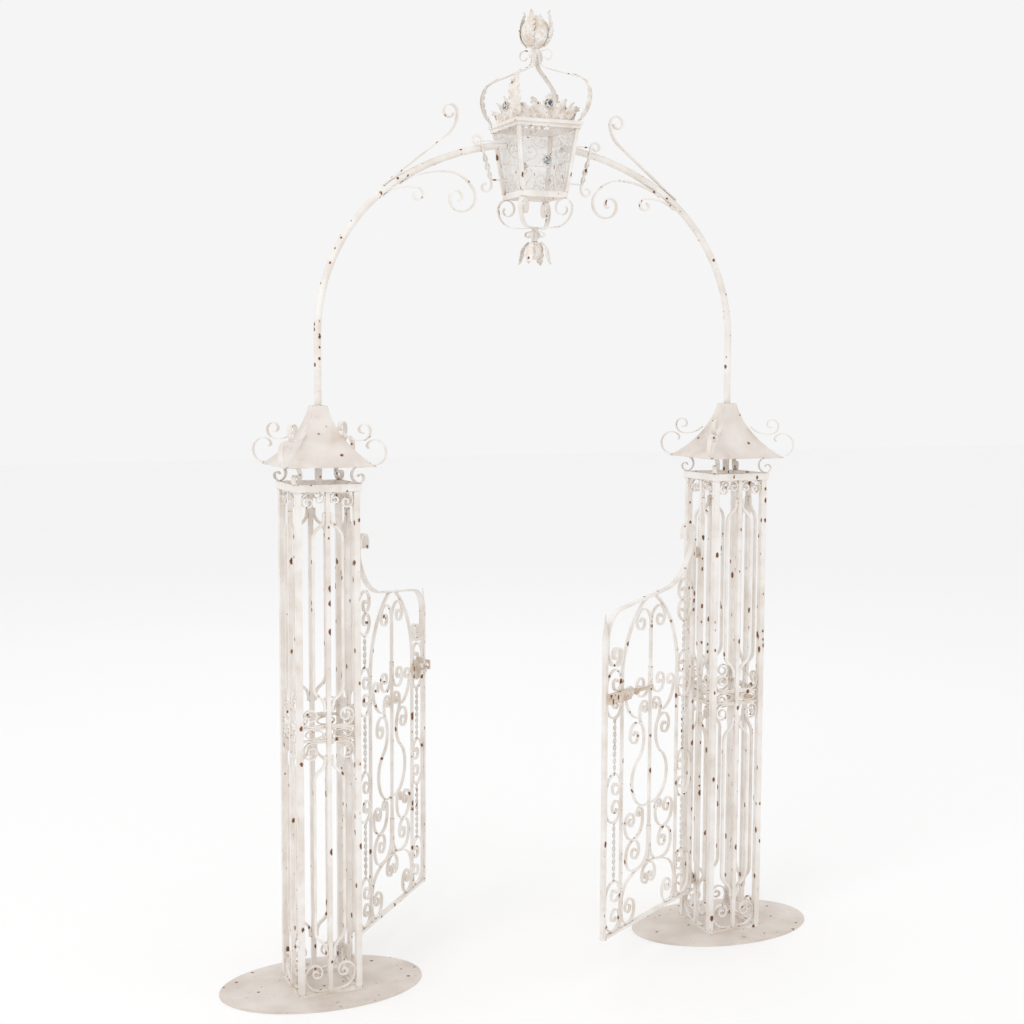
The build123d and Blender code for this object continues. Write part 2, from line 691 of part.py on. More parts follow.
def hoop_leaves():
    """A long leaf on the outside of each hoop."""
    start, heading, bends = hoop_route()
    out = FLAT_THICK / 2 + LEAF_SHEET / 2 + STAND_OFF
    turn = radians(heading)
    shifted = (start[0] + out * sin(turn), start[1] - out * cos(turn))
    grown = [(bends[0][0] + out, bends[0][1]), (bends[1][0] + out, 62)]
    with BuildPart() as leaves:
        for bearing in QUARTERS:
            with BuildSketch(radial(0, 0, bearing + 45)):
                draw([(shifted, heading, grown)], LEAF_SHEET)
            extrude(amount=HOOP_LEAF_WIDE / 2, both=True)
    return leaves.part


def finial_neck():
    """A turned neck with four small curls, between the hoops and the bud."""
    foot = neck_foot()
    curl = ((NECK_RADIUS, BUD_BOTTOM - 8), 10, [(26, 0), (18, -100), (15, -90), (11, -80)])
    with BuildPart() as neck:
        with BuildSketch(Plane.XY.offset(foot)):
            Circle(NECK_RADIUS)
        extrude(amount=BUD_BOTTOM + FLAT_THICK - foot)
        add(finial_bud(), mode=Mode.SUBTRACT)
        for bearing in QUARTERS:
            with BuildSketch(radial(0, 0, bearing + 45)):
                draw([curl], FLAT_THICK)
            extrude(amount=FLAT_WIDE / 4, both=True)
    return neck.part


def neck_foot():
    """Height where the neck starts, level with the upper ends of the hoops."""
    return CROWN_NECK - 10


def egg(blunt, radius, length, up):
    """Revolve a bud about the axis: blunt at the given height, drawn out to a point."""
    rest = length - radius
    wide = blunt + up * radius
    tip = blunt + up * length
    with BuildPart() as bud:
        with BuildSketch(Plane.XZ):
            with BuildLine():
                JernArc(start=(0, blunt), tangent=(1, 0), radius=radius, arc_size=90 * up)
                Bezier((radius, wide), (radius, wide + up * rest * 0.55),
                       (radius * 0.6, tip - up * rest * 0.08), (0, tip))
                Line((0, tip), (0, blunt))
            make_face()
        revolve(axis=Axis.Z)
    return bud.part


def finial_bud():
    """An egg-shaped closed bud."""
    return egg(BUD_BOTTOM, BUD_RADIUS, BUD_HIGH, 1)


def finial_leaves():
    """Four leaves that clasp the bud and flick outward at the tip."""
    gap = 3.0
    low = BUD_BOTTOM + 6
    rise = GATE_TOP - low - LEAF_SHEET
    cup, hug, flick = 50.0, 95.0, 60.0
    start_lean, close_lean = 25.0, 25.0
    curved = cup * cos(radians(start_lean)) + (hug + flick) * sin(radians(close_lean))
    bends = [(cup, 90 - start_lean), (rise - curved, 0), (hug, close_lean), (flick, -close_lean)]
    leaf = ((BUD_RADIUS * 0.5 + gap, low), start_lean, bends)
    with BuildPart() as leaves:
        for bearing in QUARTERS:
            with BuildSketch(radial(0, 0, bearing + 45)):
                draw([leaf], LEAF_SHEET)
            extrude(amount=BUD_LEAF_WIDE / 2, both=True)
    return leaves.part


def pendant_neck_low():
    """Height where the pendant's neck ends and its bud begins."""
    return PENDANT_JOIN - 45


def pendant_arms():
    """Four scroll arms from the lantern's bottom corners, and the neck with its four curls."""
    wide = 66.0
    arm = ((NECK_RADIUS, PENDANT_JOIN), 0,
           [(58, 0), (wide, 90), (PENDANT_DROP - wide, 90), (30, 90), (24, 90), (17, 90), (11, 60)])
    curl = ((NECK_RADIUS, PENDANT_JOIN - 12), -10, [(16, 0), (9, -100), (8, -90), (6, -80)])
    low = pendant_neck_low()
    with BuildPart() as arms:
        for bearing in QUARTERS:
            with BuildSketch(radial(0, 0, bearing + 45)):
                draw([arm, curl], FLAT_THICK)
            extrude(amount=FLAT_WIDE / 2, both=True)
        with BuildSketch(Plane.XY.offset(low)):
            Circle(NECK_RADIUS)
        extrude(amount=PENDANT_JOIN + FLAT_THICK - low)
    return arms.part


def pendant_bud():
    """The hanging bud and its four petals."""
    high = pendant_neck_low()
    low = PENDANT_TIP + 16
    petal = ((NECK_RADIUS + 2, high - 2), -10, [(44, -76), (high - PENDANT_TIP - 52, 0)])
    with BuildPart() as bud:
        add(egg(high, PENDANT_RADIUS, high - low, -1))
        for bearing in QUARTERS:
            with BuildSketch(radial(0, 0, bearing + 45)):
                draw([petal], FLAT_THICK)
            extrude(amount=FLAT_WIDE / 2, both=True)
    return bud.part


# ---------------------------------------------------------------- leaves
def leaf_plane(side, out=0.0):
    """The leaf's own plane as it stands open: X from the hinge axis to the latch, Y up."""
    bearing = LEAF_OPEN_LEFT if side < 0 else 180 + LEAF_OPEN_RIGHT
    return radial(side * HINGE_X, 0, bearing).offset(out)


def leaf_bars(side, shapes, depth, out=0.0):
    """Extrude bent bars of one leaf, on both sides of its middle plane."""
    with BuildPart() as bars:
        for bar, thick in shapes:
            with BuildSketch(leaf_plane(side, out)):
                draw([bar], thick)
            extrude(amount=depth / 2, both=True)
    return bars.part


def both_ways(bar):
    """A bar drawn from the leaf's middle line and its mirror image."""
    return [moved(bar, LEAF_MIDDLE), moved(flipped(*bar), LEAF_MIDDLE)]


def hinge_stile(side):
    with BuildPart() as stile:
        with BuildSketch(leaf_plane(side)):
            with Locations((HINGE_STILE_AT, (LEAF_BOTTOM - RAIL_HIGH / 2 + HINGE_STILE_TOP) / 2)):
                Rectangle(STILE, HINGE_STILE_TOP - LEAF_BOTTOM + RAIL_HIGH / 2)
        extrude(amount=STILE / 2, both=True)
    return stile.part


def hinge_eyes(side):
    """Two rings that turn on the pins, each with a short strap to the stile."""
    reach = HINGE_STILE_AT - STILE / 2
    with BuildPart() as eyes:
        for height in HINGE_HEIGHTS:
            with BuildSketch(leaf_plane(side)):
                with Locations(((reach + PIN_RADIUS) / 2, height + EYE_HIGH / 2)):
                    Rectangle(reach - PIN_RADIUS, EYE_HIGH)
            extrude(amount=EYE_WALL, both=True)
            with BuildSketch(Plane.XY.offset(height)):
                with Locations((side * HINGE_X, 0)):
                    Circle(EYE_RADIUS)
            extrude(amount=EYE_HIGH)
            with BuildSketch(Plane.XY.offset(height)):
                with Locations((side * HINGE_X, 0)):
                    Circle(PIN_RADIUS + PIN_CLEAR)
            extrude(amount=EYE_HIGH, mode=Mode.SUBTRACT)
    return eyes.part


def hinge_lugs(side):
    """On the tower: two flat lugs, each with an upright pin for a leaf's eye."""
    reach = TOWER_PITCH / 2 - FACE - MID_BAR / 2
    with BuildPart() as lugs:
        for height in HINGE_HEIGHTS:
            with BuildSketch(Plane.XY.offset(height - END_PLAY - LUG_THICK)):
                with Locations((side * HINGE_X, 0)):
                    Circle(EYE_RADIUS)
                with Locations((side * (HINGE_X + reach) / 2, 0)):
                    Rectangle(reach - HINGE_X, 2 * EYE_RADIUS)
            extrude(amount=LUG_THICK)
            with BuildSketch(Plane.XY.offset(height - END_PLAY)):
                with Locations((side * HINGE_X, 0)):
                    Circle(PIN_RADIUS)
            extrude(amount=EYE_HIGH + END_PLAY + 5)
    return lugs.part


def latch_stile(side):
    """A square bar whose top is drawn out to a blunt four-sided point."""
    plane = leaf_plane(side)
    foot = LEAF_BOTTOM - RAIL_HIGH / 2
    swell = SPEAR_HIGH * 0.3
    shapes = ((foot, LATCH_STILE_TOP - foot, STILE, STILE), (LATCH_STILE_TOP, swell, STILE, SPEAR_NECK),
              (LATCH_STILE_TOP + swell, SPEAR_HIGH - swell, SPEAR_NECK, SPEAR_TIP))
    with BuildPart() as stile:
        for low, high, wide, narrow in shapes:
            centre = plane.from_local_coords(Vector(LATCH_STILE_AT, low, 0))
            with BuildSketch(Plane(origin=centre, x_dir=plane.x_dir, z_dir=(0, 0, 1))):
                Rectangle(wide, wide)
            extrude(amount=high, taper=degrees(atan((wide - narrow) / 2 / high)))
    return stile.part


def bottom_rail(side):
    start = HINGE_STILE_AT + STILE / 2
    end = LATCH_STILE_AT - STILE / 2
    with BuildPart() as rail:
        with BuildSketch(leaf_plane(side)):
            with Locations(((start + end) / 2, LEAF_BOTTOM)):
                Rectangle(end - start, RAIL_HIGH)
        extrude(amount=STILE / 2, both=True)
    return rail.part


def top_rail(side):
    """One flat bar: a curl at the latch side, over the pointed arch, up to a wide volute."""
    shoulder = (LATCH_STILE_AT - STILE / 2 - RAIL_THICK / 2, LATCH_STILE_TOP - 26)
    riser_at = HINGE_STILE_AT + STILE / 2 + RAIL_THICK / 2
    slope = 6.0
    turn_in = 54.0
    corner, lead, finish = 96.0, 240.0, 100.0
    curl = (shoulder, -90, [(22, 0), (62, -90), (32, -90), (27, -90), (21, -90), (15, -90)])
    lean = radians(180 - slope)
    turned = radians(180 - slope - turn_in)
    gap = shoulder[0] - riser_at
    used = corner * (1 - sin(lean)) + lead * (sin(turned) - sin(lean)) + finish * (1 - sin(turned))
    level = (gap - used) / cos(radians(slope))
    rise = (shoulder, 90, [(10, 0), (corner, 90 - slope), (level, 0), (lead, -turn_in),
                           (finish, slope + turn_in - 90)])
    volute_foot, heading = end_of(*rise)
    wide_end = (volute_foot, heading, [(14, 0), (34, -90), (8, 0), (26, -90), (24, 0)])
    with BuildPart() as rail:
        add(leaf_bars(side, [(curl, RAIL_THICK), (rise, RAIL_THICK)], RAIL_WIDE))
        add(leaf_bars(side, [(wide_end, RAIL_THICK)], VOLUTE_WIDE))
    return rail.part


def pointed_arch(side):
    """The two legs and the pointed head that they make, fitted under the top rail."""
    rise = APEX - ARCH_LEG_TOP
    radius = (LEG_REACH ** 2 + rise ** 2) / (2 * LEG_REACH)
    sweep_up = degrees(atan2(rise, radius - LEG_REACH))
    leg = ((LEG_REACH, RAIL_TOP), 90, [(ARCH_LEG_TOP - RAIL_TOP, 0), (radius, sweep_up)])
    with BuildPart() as coped:
        add(leaf_bars(side, [(bar, LEG_BAR) for bar in both_ways(leg)], SCROLL_WIDE))
        add(top_rail(side), mode=Mode.SUBTRACT)
    with BuildPart() as arch:
        for solid in coped.part.solids():
            if solid.bounding_box().min.Z < ARCH_LEG_TOP:
                add(solid)
    return arch.part


def centre_bar(side):
    """The middle bar, split at the top into two curls."""
    foot = LOW_ARCH_TOP + SCROLL_BAR / 2
    split = ARCH_LEG_TOP + 114
    half = (LEG_BAR - SCROLL_BAR) / 2
    curl = ((half, split), 90, [(66, 0)] + volute(55, 6, -1))
    bar = ((LEAF_MIDDLE, foot), 90, [(split - foot, 0)])
    shapes = [(bar, LEG_BAR)] + [(one, SCROLL_BAR) for one in both_ways(curl)]
    return leaf_bars(side, shapes, SCROLL_WIDE)


def low_arch():
    """The low arch on the bottom rail; each end turns under and up into a spiral."""
    under = 46.0
    haunch = 86.0
    fall = 22.0
    lean = radians(fall)
    half_span = LEG_REACH - LEG_BAR / 2 - SCROLL_BAR / 2
    crown = (half_span - haunch * (1 - sin(lean))) / sin(lean)
    spring = LOW_ARCH_TOP - crown * (1 - cos(lean)) - haunch * cos(lean)
    drop_down = spring - RAIL_TOP - SCROLL_BAR / 2 - under
    bends = [(crown, -fall), (haunch, fall - 90), (drop_down, 0), (under, -90), (42, -90), (6, 0)]
    bends += volute(35, 5, -1)
    bar = ((0, LOW_ARCH_TOP), 0, bends)
    hanging = ((6, LOW_ARCH_TOP - SCROLL_BAR), -4, [(44, -86)] + volute(26, 5, -1))
    return both_ways(bar) + both_ways(hanging)


def centre_scrolls(side):
    """The low arch, and the pairs of scrolls that stand about the middle bar."""
    near = LEG_BAR / 2 + SCROLL_BAR / 2
    far = LEG_REACH - near
    waist = (LOW_ARCH_TOP + ARCH_LEG_TOP) / 2
    cup_low = LOW_ARCH_TOP + 103
    side_out = 92.0
    hook = ((near, ARCH_LEG_TOP + 24), 270, [(44, 0)] + volute(52, 6))
    side_hook = ((side_out, waist + 194), 12,
                 [(far - side_out + 4, 74), (12, 4), (26, 90), (20, 90), (15, 90), (11, 90)])
    crook = ((45, waist + 128), 90, shift_over(27, 76) + [(10, 0)] + volute(31, 6))
    great = ((near, waist - 124), -12, [(97, 102)] + shift_over(-82, 145) + [(8, 0)] + volute(55, 6, -1))
    cup_out = ((108, cup_low), 0, [(61, 90)] + volute(36, 5))
    cup_in = ((108, cup_low), 180, [(62, -90), (20, 0)] + volute(23, 5, -1))
    foot = ((near, LOW_ARCH_TOP + 128), 270, [(66, 0), (70, 90), (28, 0), (56, 90)] + volute(52, 6))
    shapes = [(one, SCROLL_BAR) for one in low_arch()]
    for bar in (hook, side_hook, crook, great, cup_out, cup_in, foot):
        shapes += [(one, SCROLL_BAR) for one in both_ways(bar)]
    return leaf_bars(side, shapes, SCROLL_WIDE)


def column_scrolls():
    """The heights of the C scrolls in each side column, from the bottom."""
    latch = ((0, 178), (378, 550), (738, 908))
    hinge = ((0, 170), (363, 540), (732, 901), (1010, 1166))
    return latch, hinge


def column_backs():
    """For the latch and the hinge column: the line of the C scrolls' backs, the clear width,
    and the way across the column, 1 towards the hinge."""
    latch_face = LATCH_STILE_AT - STILE / 2
    hinge_face = HINGE_STILE_AT + STILE / 2
    latch_wide = latch_face - LEAF_MIDDLE - LEG_REACH - LEG_BAR / 2
    hinge_wide = LEAF_MIDDLE - LEG_REACH - LEG_BAR / 2 - hinge_face
    return ((latch_face - SCROLL_BAR / 2, latch_wide, 1), (hinge_face + SCROLL_BAR / 2, hinge_wide, -1))


def side_scrolls(side):
    """C scrolls in the narrow columns beside the two stiles."""
    shapes = []
    for (back, wide, turn), column in zip(column_backs(), column_scrolls()):
        for low, high in column:
            bars = c_scroll(back, RAIL_TOP + (low + high) / 2, high - low, wide, turn)
            shapes += [(bar, SCROLL_BAR) for bar in bars]
    return leaf_bars(side, shapes, SCROLL_WIDE)


def twisted_bars(side):
    """Thin twisted bars that link the crowns of the C scrolls of the side columns."""
    with BuildPart() as bars:
        for (back, wide, turn), column in zip(column_backs(), column_scrolls()):
            at = back - turn * (wide - SCROLL_BAR) / (1 + SCROLL_SHRINK)
            for lower, upper in zip(column, column[1:]):
                with BuildSketch(leaf_plane(side)):
                    with Locations((at, RAIL_TOP + (lower[1] + upper[0]) / 2)):
                        Rectangle(TWIST_BAR, upper[0] - lower[1])
                extrude(amount=TWIST_BAR / 2, both=True)
    return bars.part


def bolt_front():
    """Distance of the bolt's axis in front of the middle plane of its leaf."""
    return STILE / 2 + CASE_THICK + BOLT_RADIUS - 1


def bolt_block(side, start, end, clear):
    """A block on the front of a leaf with a bore for the bolt."""
    front = bolt_front()
    sign = 1 if side < 0 else -1
    depth = front + BOLT_RADIUS + CASE_THICK / 2 - STILE / 2
    with BuildPart() as block:
        with BuildSketch(leaf_plane(side, sign * STILE / 2)):
            with Locations(((start + end) / 2, BOLT_HEIGHT)):
                Rectangle(end - start, CASE_HIGH)
        extrude(amount=sign * depth)
        across = leaf_plane(side).x_dir
        mouth = leaf_plane(side, sign * front).from_local_coords((start, BOLT_HEIGHT, 0))
        with BuildSketch(Plane(origin=mouth, z_dir=across)):
            Circle(BOLT_RADIUS + clear)
        extrude(amount=end - start, mode=Mode.SUBTRACT)
    return block.part


def case_start():
    """Where the bolt's case begins, from the hinge axis: just behind the arch's leg."""
    return LEAF_MIDDLE + LEG_REACH - LEG_BAR * 2


def bolt_case():
    """On the right leaf: the block that the bolt slides in."""
    return bolt_block(1, case_start(), LEAF_REACH - 6, SLIDE_CLEAR)


def bolt_keeper():
    """On the left leaf: the block that the bolt shoots into, and its leaf-shaped plate."""
    with BuildPart() as keeper:
        add(bolt_block(-1, LATCH_STILE_AT - STILE / 2 + 2, LEAF_REACH - 2, KEEPER_CLEAR))
        add(keeper_plate())
    return keeper.part


def keeper_plate():
    """The leaf-shaped plate beside the keeper."""
    reach = LATCH_STILE_AT - STILE / 2 + 1.6
    start = LEAF_MIDDLE + LEG_REACH - 30
    with BuildPart() as plate:
        with BuildSketch(leaf_plane(-1, STILE / 2)):
            with BuildLine() as outline:
                upper = SagittaArc((start, BOLT_HEIGHT), (reach, BOLT_HEIGHT), 40)
                SagittaArc(upper @ 1, upper @ 0, 40)
            make_face(outline.edges())
        extrude(amount=FLAT_THICK)
    return plate.part


def slide_bolt():
    """The round bolt with the collar that it is pushed by."""
    start = LEAF_MIDDLE + 20
    end = LEAF_REACH - 8
    collar = case_start() - BOLT_THROW - 12
    across = leaf_plane(1).x_dir
    with BuildPart() as bolt:
        for low, high, radius in ((start, end, BOLT_RADIUS), (collar, collar + 8, BOLT_RADIUS * 1.9)):
            mouth = leaf_plane(1, -bolt_front()).from_local_coords((low, BOLT_HEIGHT, 0))
            with BuildSketch(Plane(origin=mouth, z_dir=across)):
                Circle(radius)
            extrude(amount=high - low)
    return bolt.part


# ---------------------------------------------------------------- build
def main():
    os.makedirs("parts", exist_ok=True)
    for name, side in SIDES:
        x = side * TOWER_PITCH / 2
        save(base_plate(x), f"{name}_base_plate")
        save(square_frame(x, TOWER_SIDE, PLATE_THICK, BOTTOM_FRAME_HIGH), f"{name}_bottom_frame")
        save(square_frame(x, TOP_FRAME_SIDE, BARS_TOP, TOP_FRAME_HIGH), f"{name}_top_frame")
        save(corner_bars(x), f"{name}_corner_bars")
        save(mid_bars(x), f"{name}_mid_bars")
        save(flank_bars(x), f"{name}_flank_bars")
        save(mid_band(x), f"{name}_mid_band")
        save(face_scrolls(x), f"{name}_face_scrolls")
        save(roof(x), f"{name}_roof")
        save(roof_scrolls(x), f"{name}_roof_scrolls")
        save(hinge_lugs(side), f"{name}_hinge_lugs")
        save(hinge_stile(side), f"{name}_hinge_stile")
        save(hinge_eyes(side), f"{name}_hinge_eyes")
        save(latch_stile(side), f"{name}_latch_stile")
        save(bottom_rail(side), f"{name}_bottom_rail")
        save(top_rail(side), f"{name}_top_rail")
        save(pointed_arch(side), f"{name}_pointed_arch")
        save(centre_bar(side), f"{name}_centre_bar")
        save(centre_scrolls(side), f"{name}_centre_scrolls")
        save(side_scrolls(side), f"{name}_side_scrolls")
        save(twisted_bars(side), f"{name}_twisted_bars")
    save(arch_tubes(), "arch_tubes")
    save(arch_scrolls(), "arch_scrolls")
    save(lantern_hangers(), "lantern_hangers")
    save(lantern_rim(), "lantern_rim")
    save(lantern_frame(), "lantern_frame")
    save(lantern_panels(), "lantern_panels")
    save(lantern_bottom(), "lantern_bottom")
    save(crystals(), "crystals")
    save(crown_leaves(), "crown_leaves")
    save(crown_hoops(), "crown_hoops")
    save(finial_neck(), "finial_neck")
    save(finial_bud(), "finial_bud")
    save(finial_leaves(), "finial_leaves")
    save(pendant_arms(), "pendant_arms")
    save(pendant_bud(), "pendant_bud")
    save(bolt_case(), "bolt_case")
    save(slide_bolt(), "slide_bolt")
    save(bolt_keeper(), "bolt_keeper")


main()
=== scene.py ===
"""Garden gateway of painted wrought iron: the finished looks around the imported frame.

Two openwork towers carry a bent tube arch with a crowned lantern, and a pair of leaves swings
between them.  Lengths are metres; +Z is up and +X runs from the left tower to the right one.
"""

import json
import logging
import math
import random
from dataclasses import dataclass, field
from enum import Enum
from typing import Any, Iterable, Sequence

import bmesh
import bpy
import numpy as np
from mathutils import Matrix, Vector
from mathutils.bvhtree import BVHTree


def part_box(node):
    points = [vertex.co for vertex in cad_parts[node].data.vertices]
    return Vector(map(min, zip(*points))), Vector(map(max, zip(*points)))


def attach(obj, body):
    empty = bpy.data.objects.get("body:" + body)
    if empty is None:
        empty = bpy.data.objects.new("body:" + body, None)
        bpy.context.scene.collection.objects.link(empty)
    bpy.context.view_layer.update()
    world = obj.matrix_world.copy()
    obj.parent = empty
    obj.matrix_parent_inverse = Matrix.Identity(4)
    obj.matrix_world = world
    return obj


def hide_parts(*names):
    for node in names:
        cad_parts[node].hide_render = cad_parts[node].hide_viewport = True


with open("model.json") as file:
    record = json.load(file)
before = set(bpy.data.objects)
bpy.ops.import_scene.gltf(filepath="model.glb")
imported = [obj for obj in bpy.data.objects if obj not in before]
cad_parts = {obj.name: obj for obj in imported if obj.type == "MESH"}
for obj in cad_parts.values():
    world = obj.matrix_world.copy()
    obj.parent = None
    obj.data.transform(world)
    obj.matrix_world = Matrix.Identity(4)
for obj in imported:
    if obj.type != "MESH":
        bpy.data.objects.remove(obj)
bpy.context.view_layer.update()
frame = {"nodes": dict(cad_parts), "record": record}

LOG = logging.getLogger("gateway")
MM = 0.001
BEARINGS = tuple(math.radians(turn) for turn in (0, 90, 180, 270))
DIAGONALS = tuple(math.radians(turn) for turn in (45, 135, 225, 315))


# ---------------------------------------------------------------- nodes and colours
def to_linear(colour: str) -> tuple[float, float, float, float]:
    """Turns an sRGB hex colour to the linear values that shaders take.

    Args:
        colour: Six hex digits after a hash mark.

    Returns:
        Linear red, green and blue, and an alpha of one.
    """
    def channel(start: int) -> float:
        """One channel, from its two hex digits."""
        value = int(colour[start:start + 2], 16) / 255
        return value / 12.92 if value <= 0.04045 else ((value + 0.055) / 1.055) ** 2.4

    return channel(1), channel(3), channel(5), 1.0


def add_node(tree: bpy.types.NodeTree, kind: str, inputs: dict | None = None, **settings: Any) -> Any:
    """Adds one node with its settings and links.

    Args:
        tree: The material's or the geometry's node tree.
        kind: Blender's name for the node type.
        inputs: For each input, by name or number, a value, or a node or output that feeds it.
        settings: The node's own properties.

    Returns:
        The new node.
    """
    node = tree.nodes.new(kind)
    for name, value in settings.items():
        setattr(node, name, value)
    for key, value in (inputs or {}).items():
        socket = node.inputs[key]
        if isinstance(value, bpy.types.Node):
            value = value.outputs[0]
        if isinstance(value, bpy.types.NodeSocket):
            tree.links.new(value, socket)
        else:
            socket.default_value = value
    return node


def compute(tree: bpy.types.NodeTree, operation: str, *values: Any) -> Any:
    """Adds one step of arithmetic on two or three values or outputs."""
    return add_node(tree, "ShaderNodeMath", dict(enumerate(values)), operation=operation)


# ---------------------------------------------------------------- finishes
@dataclass(frozen=True)
class AgedPaint:
    """Cream enamel brushed over forged iron, rubbed and chipped until the iron shows.

    The paint is a thin satin film with soft brush marks.  Sharp edges are rubbed to tan.  Small
    ragged chips lie all over, each with a dark iron core and a rust-orange rim.
    """

    name: str
    paint: str = "#F1EDE9"
    shade: str = "#DFD6CC"
    stain: str = "#C7A26E"
    edge: str = "#B08D6C"
    halo: str = "#B98250"
    rust: str = "#8A5530"
    iron: str = "#4A3226"
    cloud_mm: float = 90.0
    brush_mm: float = 2.5
    stained: float = 0.2
    edge_mm: float = 1.6
    edge_wear: float = 0.5
    cell_mm: float = 20.0
    chip_mm: float = 7.0
    chipped: float = 0.5
    stretch: float = 0.6
    roughness: float = 0.48

    def build(self) -> bpy.types.Material:
        """Builds the material.

        Returns:
            A material that reads the object's own coordinates.
        """
        material = bpy.data.materials.new(self.name)
        material.use_nodes = True
        tree = material.node_tree
        shader = tree.nodes["Principled BSDF"]
        place = add_node(tree, "ShaderNodeTexCoord").outputs["Object"]
        cloud = self._noise(tree, place, self.cloud_mm, 3.0)
        patch = self._noise(tree, place, self.cloud_mm * 0.45, 4.0, 3.7)
        fine = self._noise(tree, place, self.brush_mm, 2.0)
        paint = self._blend(tree, self._ramp(tree, cloud, 0.38, 0.74), self.paint, self.shade)
        yellow = self._ramp(tree, patch, 0.62 - self.stained * 0.14, 0.82 - self.stained * 0.08)
        softened = compute(tree, "MULTIPLY", yellow, 0.2 + self.stained * 0.5)
        paint = self._blend(tree, softened, paint, self.stain)
        worn = compute(tree, "MULTIPLY", self._edges(tree), self._ramp(tree, patch, 0.4, 0.56))
        paint = self._blend(tree, compute(tree, "MULTIPLY", worn, self.edge_wear), paint, self.edge)
        depth = self._chip_depth(tree, place, fine)
        rim = self._ramp(tree, depth, -0.07, 0.0)
        paint = self._blend(tree, compute(tree, "MULTIPLY", rim, 0.6), paint, self.halo)
        core = self._ramp(tree, depth, 0.0, 0.025)
        metal = self._blend(tree, self._ramp(tree, fine, 0.4, 0.6), self.iron, self.rust)
        tree.links.new(self._blend(tree, core, paint, metal), shader.inputs["Base Color"])
        rough = add_node(tree, "ShaderNodeMapRange",
                         {"Value": core, "To Min": self.roughness, "To Max": 0.85})
        tree.links.new(rough.outputs[0], shader.inputs["Roughness"])
        film = compute(tree, "MULTIPLY_ADD", fine, 0.15, compute(tree, "SUBTRACT", 1.0, core))
        bump = add_node(tree, "ShaderNodeBump", {"Height": film, "Strength": 0.4, "Distance": 0.4 * MM})
        tree.links.new(bump.outputs[0], shader.inputs["Normal"])
        return material

    def _chip_depth(self, tree: bpy.types.NodeTree, place: Any, fine: Any) -> Any:
        """How far inside a chip each spot lies, in cells; below zero outside the chips.

        Args:
            tree: The material's node tree.
            place: The object's own coordinates.
            fine: A fine noise that breaks the outlines.

        Returns:
            The depth.  Each cell holds one chip or none, and each chip has its own size.
        """
        warp = add_node(tree, "ShaderNodeTexNoise",
                        {"Vector": place, "Scale": 1 / (self.chip_mm * 0.8 * MM), "Detail": 3.0})
        push = (self.chip_mm * MM,) * 3
        ragged = add_node(tree, "ShaderNodeVectorMath", {0: warp.outputs["Color"], 1: push, 2: place},
                          operation="MULTIPLY_ADD")
        long_grain = add_node(tree, "ShaderNodeMapping", {"Vector": ragged, "Scale": (1, 1, self.stretch)})
        cells = add_node(tree, "ShaderNodeTexVoronoi",
                         {"Vector": long_grain, "Scale": 1 / (self.cell_mm * MM)}, voronoi_dimensions="3D")
        lot = add_node(tree, "ShaderNodeSeparateColor", {0: cells.outputs["Color"]}).outputs[0]
        reach = add_node(tree, "ShaderNodeMapRange",
                         {"Value": lot, "From Min": 1 - self.chipped, "From Max": 1.0, "To Min": -0.1,
                          "To Max": self.chip_mm / self.cell_mm})
        smooth = compute(tree, "SUBTRACT", reach, cells.outputs["Distance"])
        return compute(tree, "MULTIPLY_ADD", compute(tree, "SUBTRACT", fine, 0.5), 0.12, smooth)

    def _noise(self, tree: bpy.types.NodeTree, place: Any, grain_mm: float, detail: float,
               shift: float = 0.0) -> Any:
        """A noise whose lumps are about grain_mm across."""
        if shift:
            place = add_node(tree, "ShaderNodeMapping", {"Vector": place, "Location": (shift,) * 3})
        return add_node(tree, "ShaderNodeTexNoise",
                        {"Vector": place, "Scale": 1 / (grain_mm * MM), "Detail": detail})

    def _ramp(self, tree: bpy.types.NodeTree, value: Any, low: float, high: float) -> Any:
        """Zero below low, one above high."""
        return add_node(tree, "ShaderNodeMapRange", {"Value": value, "From Min": low, "From Max": high})

    def _blend(self, tree: bpy.types.NodeTree, share: Any, first: Any, second: Any) -> Any:
        """Goes from the first colour to the second; each is a hex colour or an output."""
        first, second = (to_linear(c) if isinstance(c, str) else c for c in (first, second))
        mix = add_node(tree, "ShaderNodeMix", {0: share, 6: first, 7: second}, data_type="RGBA")
        return mix.outputs[2]

    def _edges(self, tree: bpy.types.NodeTree) -> Any:
        """One where the surface turns sharply, zero on the flats."""
        rounded = add_node(tree, "ShaderNodeBevel", {"Radius": self.edge_mm * MM}, samples=4)
        flat = add_node(tree, "ShaderNodeNewGeometry").outputs["Normal"]
        turn = add_node(tree, "ShaderNodeVectorMath", {0: rounded, 1: flat}, operation="DOT_PRODUCT")
        return self._ramp(tree, compute(tree, "SUBTRACT", 1.0, turn.outputs["Value"]), 0.02, 0.16)


@dataclass(frozen=True)
class FoiledCrystal:
    """Cut crystal with a silvered back and a sharp gloss; its facets carry painted reflections, each a grey
    between dark and light in place of what it would mirror.
    """

    name: str = "foiled_crystal"
    dark: str = "#2B2B2C"
    light: str = "#D9DADB"

    def build(self) -> bpy.types.Material:
        """Builds the material; a face attribute holds each painted reflection grey, as a share from dark to
        light.
        """
        material = bpy.data.materials.new(self.name)
        material.use_nodes = True
        tree = material.node_tree
        shader = tree.nodes["Principled BSDF"]
        # Painted reflection: the stone's per-face grey sets the base colour, from dark to light, in place
        # of the mirrored surroundings.
        facet_reflection = add_node(tree, "ShaderNodeAttribute", attribute_name="facet_reflection").outputs["Fac"]
        reflection_tone = add_node(tree, "ShaderNodeMix",
                        {0: facet_reflection, 6: to_linear(self.dark), 7: to_linear(self.light)}, data_type="RGBA")
        tree.links.new(reflection_tone.outputs[2], shader.inputs["Base Color"])
        shader.inputs["Roughness"].default_value = 0.04
        shader.inputs["Coat Weight"].default_value = 1.0
        shader.inputs["Specular IOR Level"].default_value = 0.9
        return material


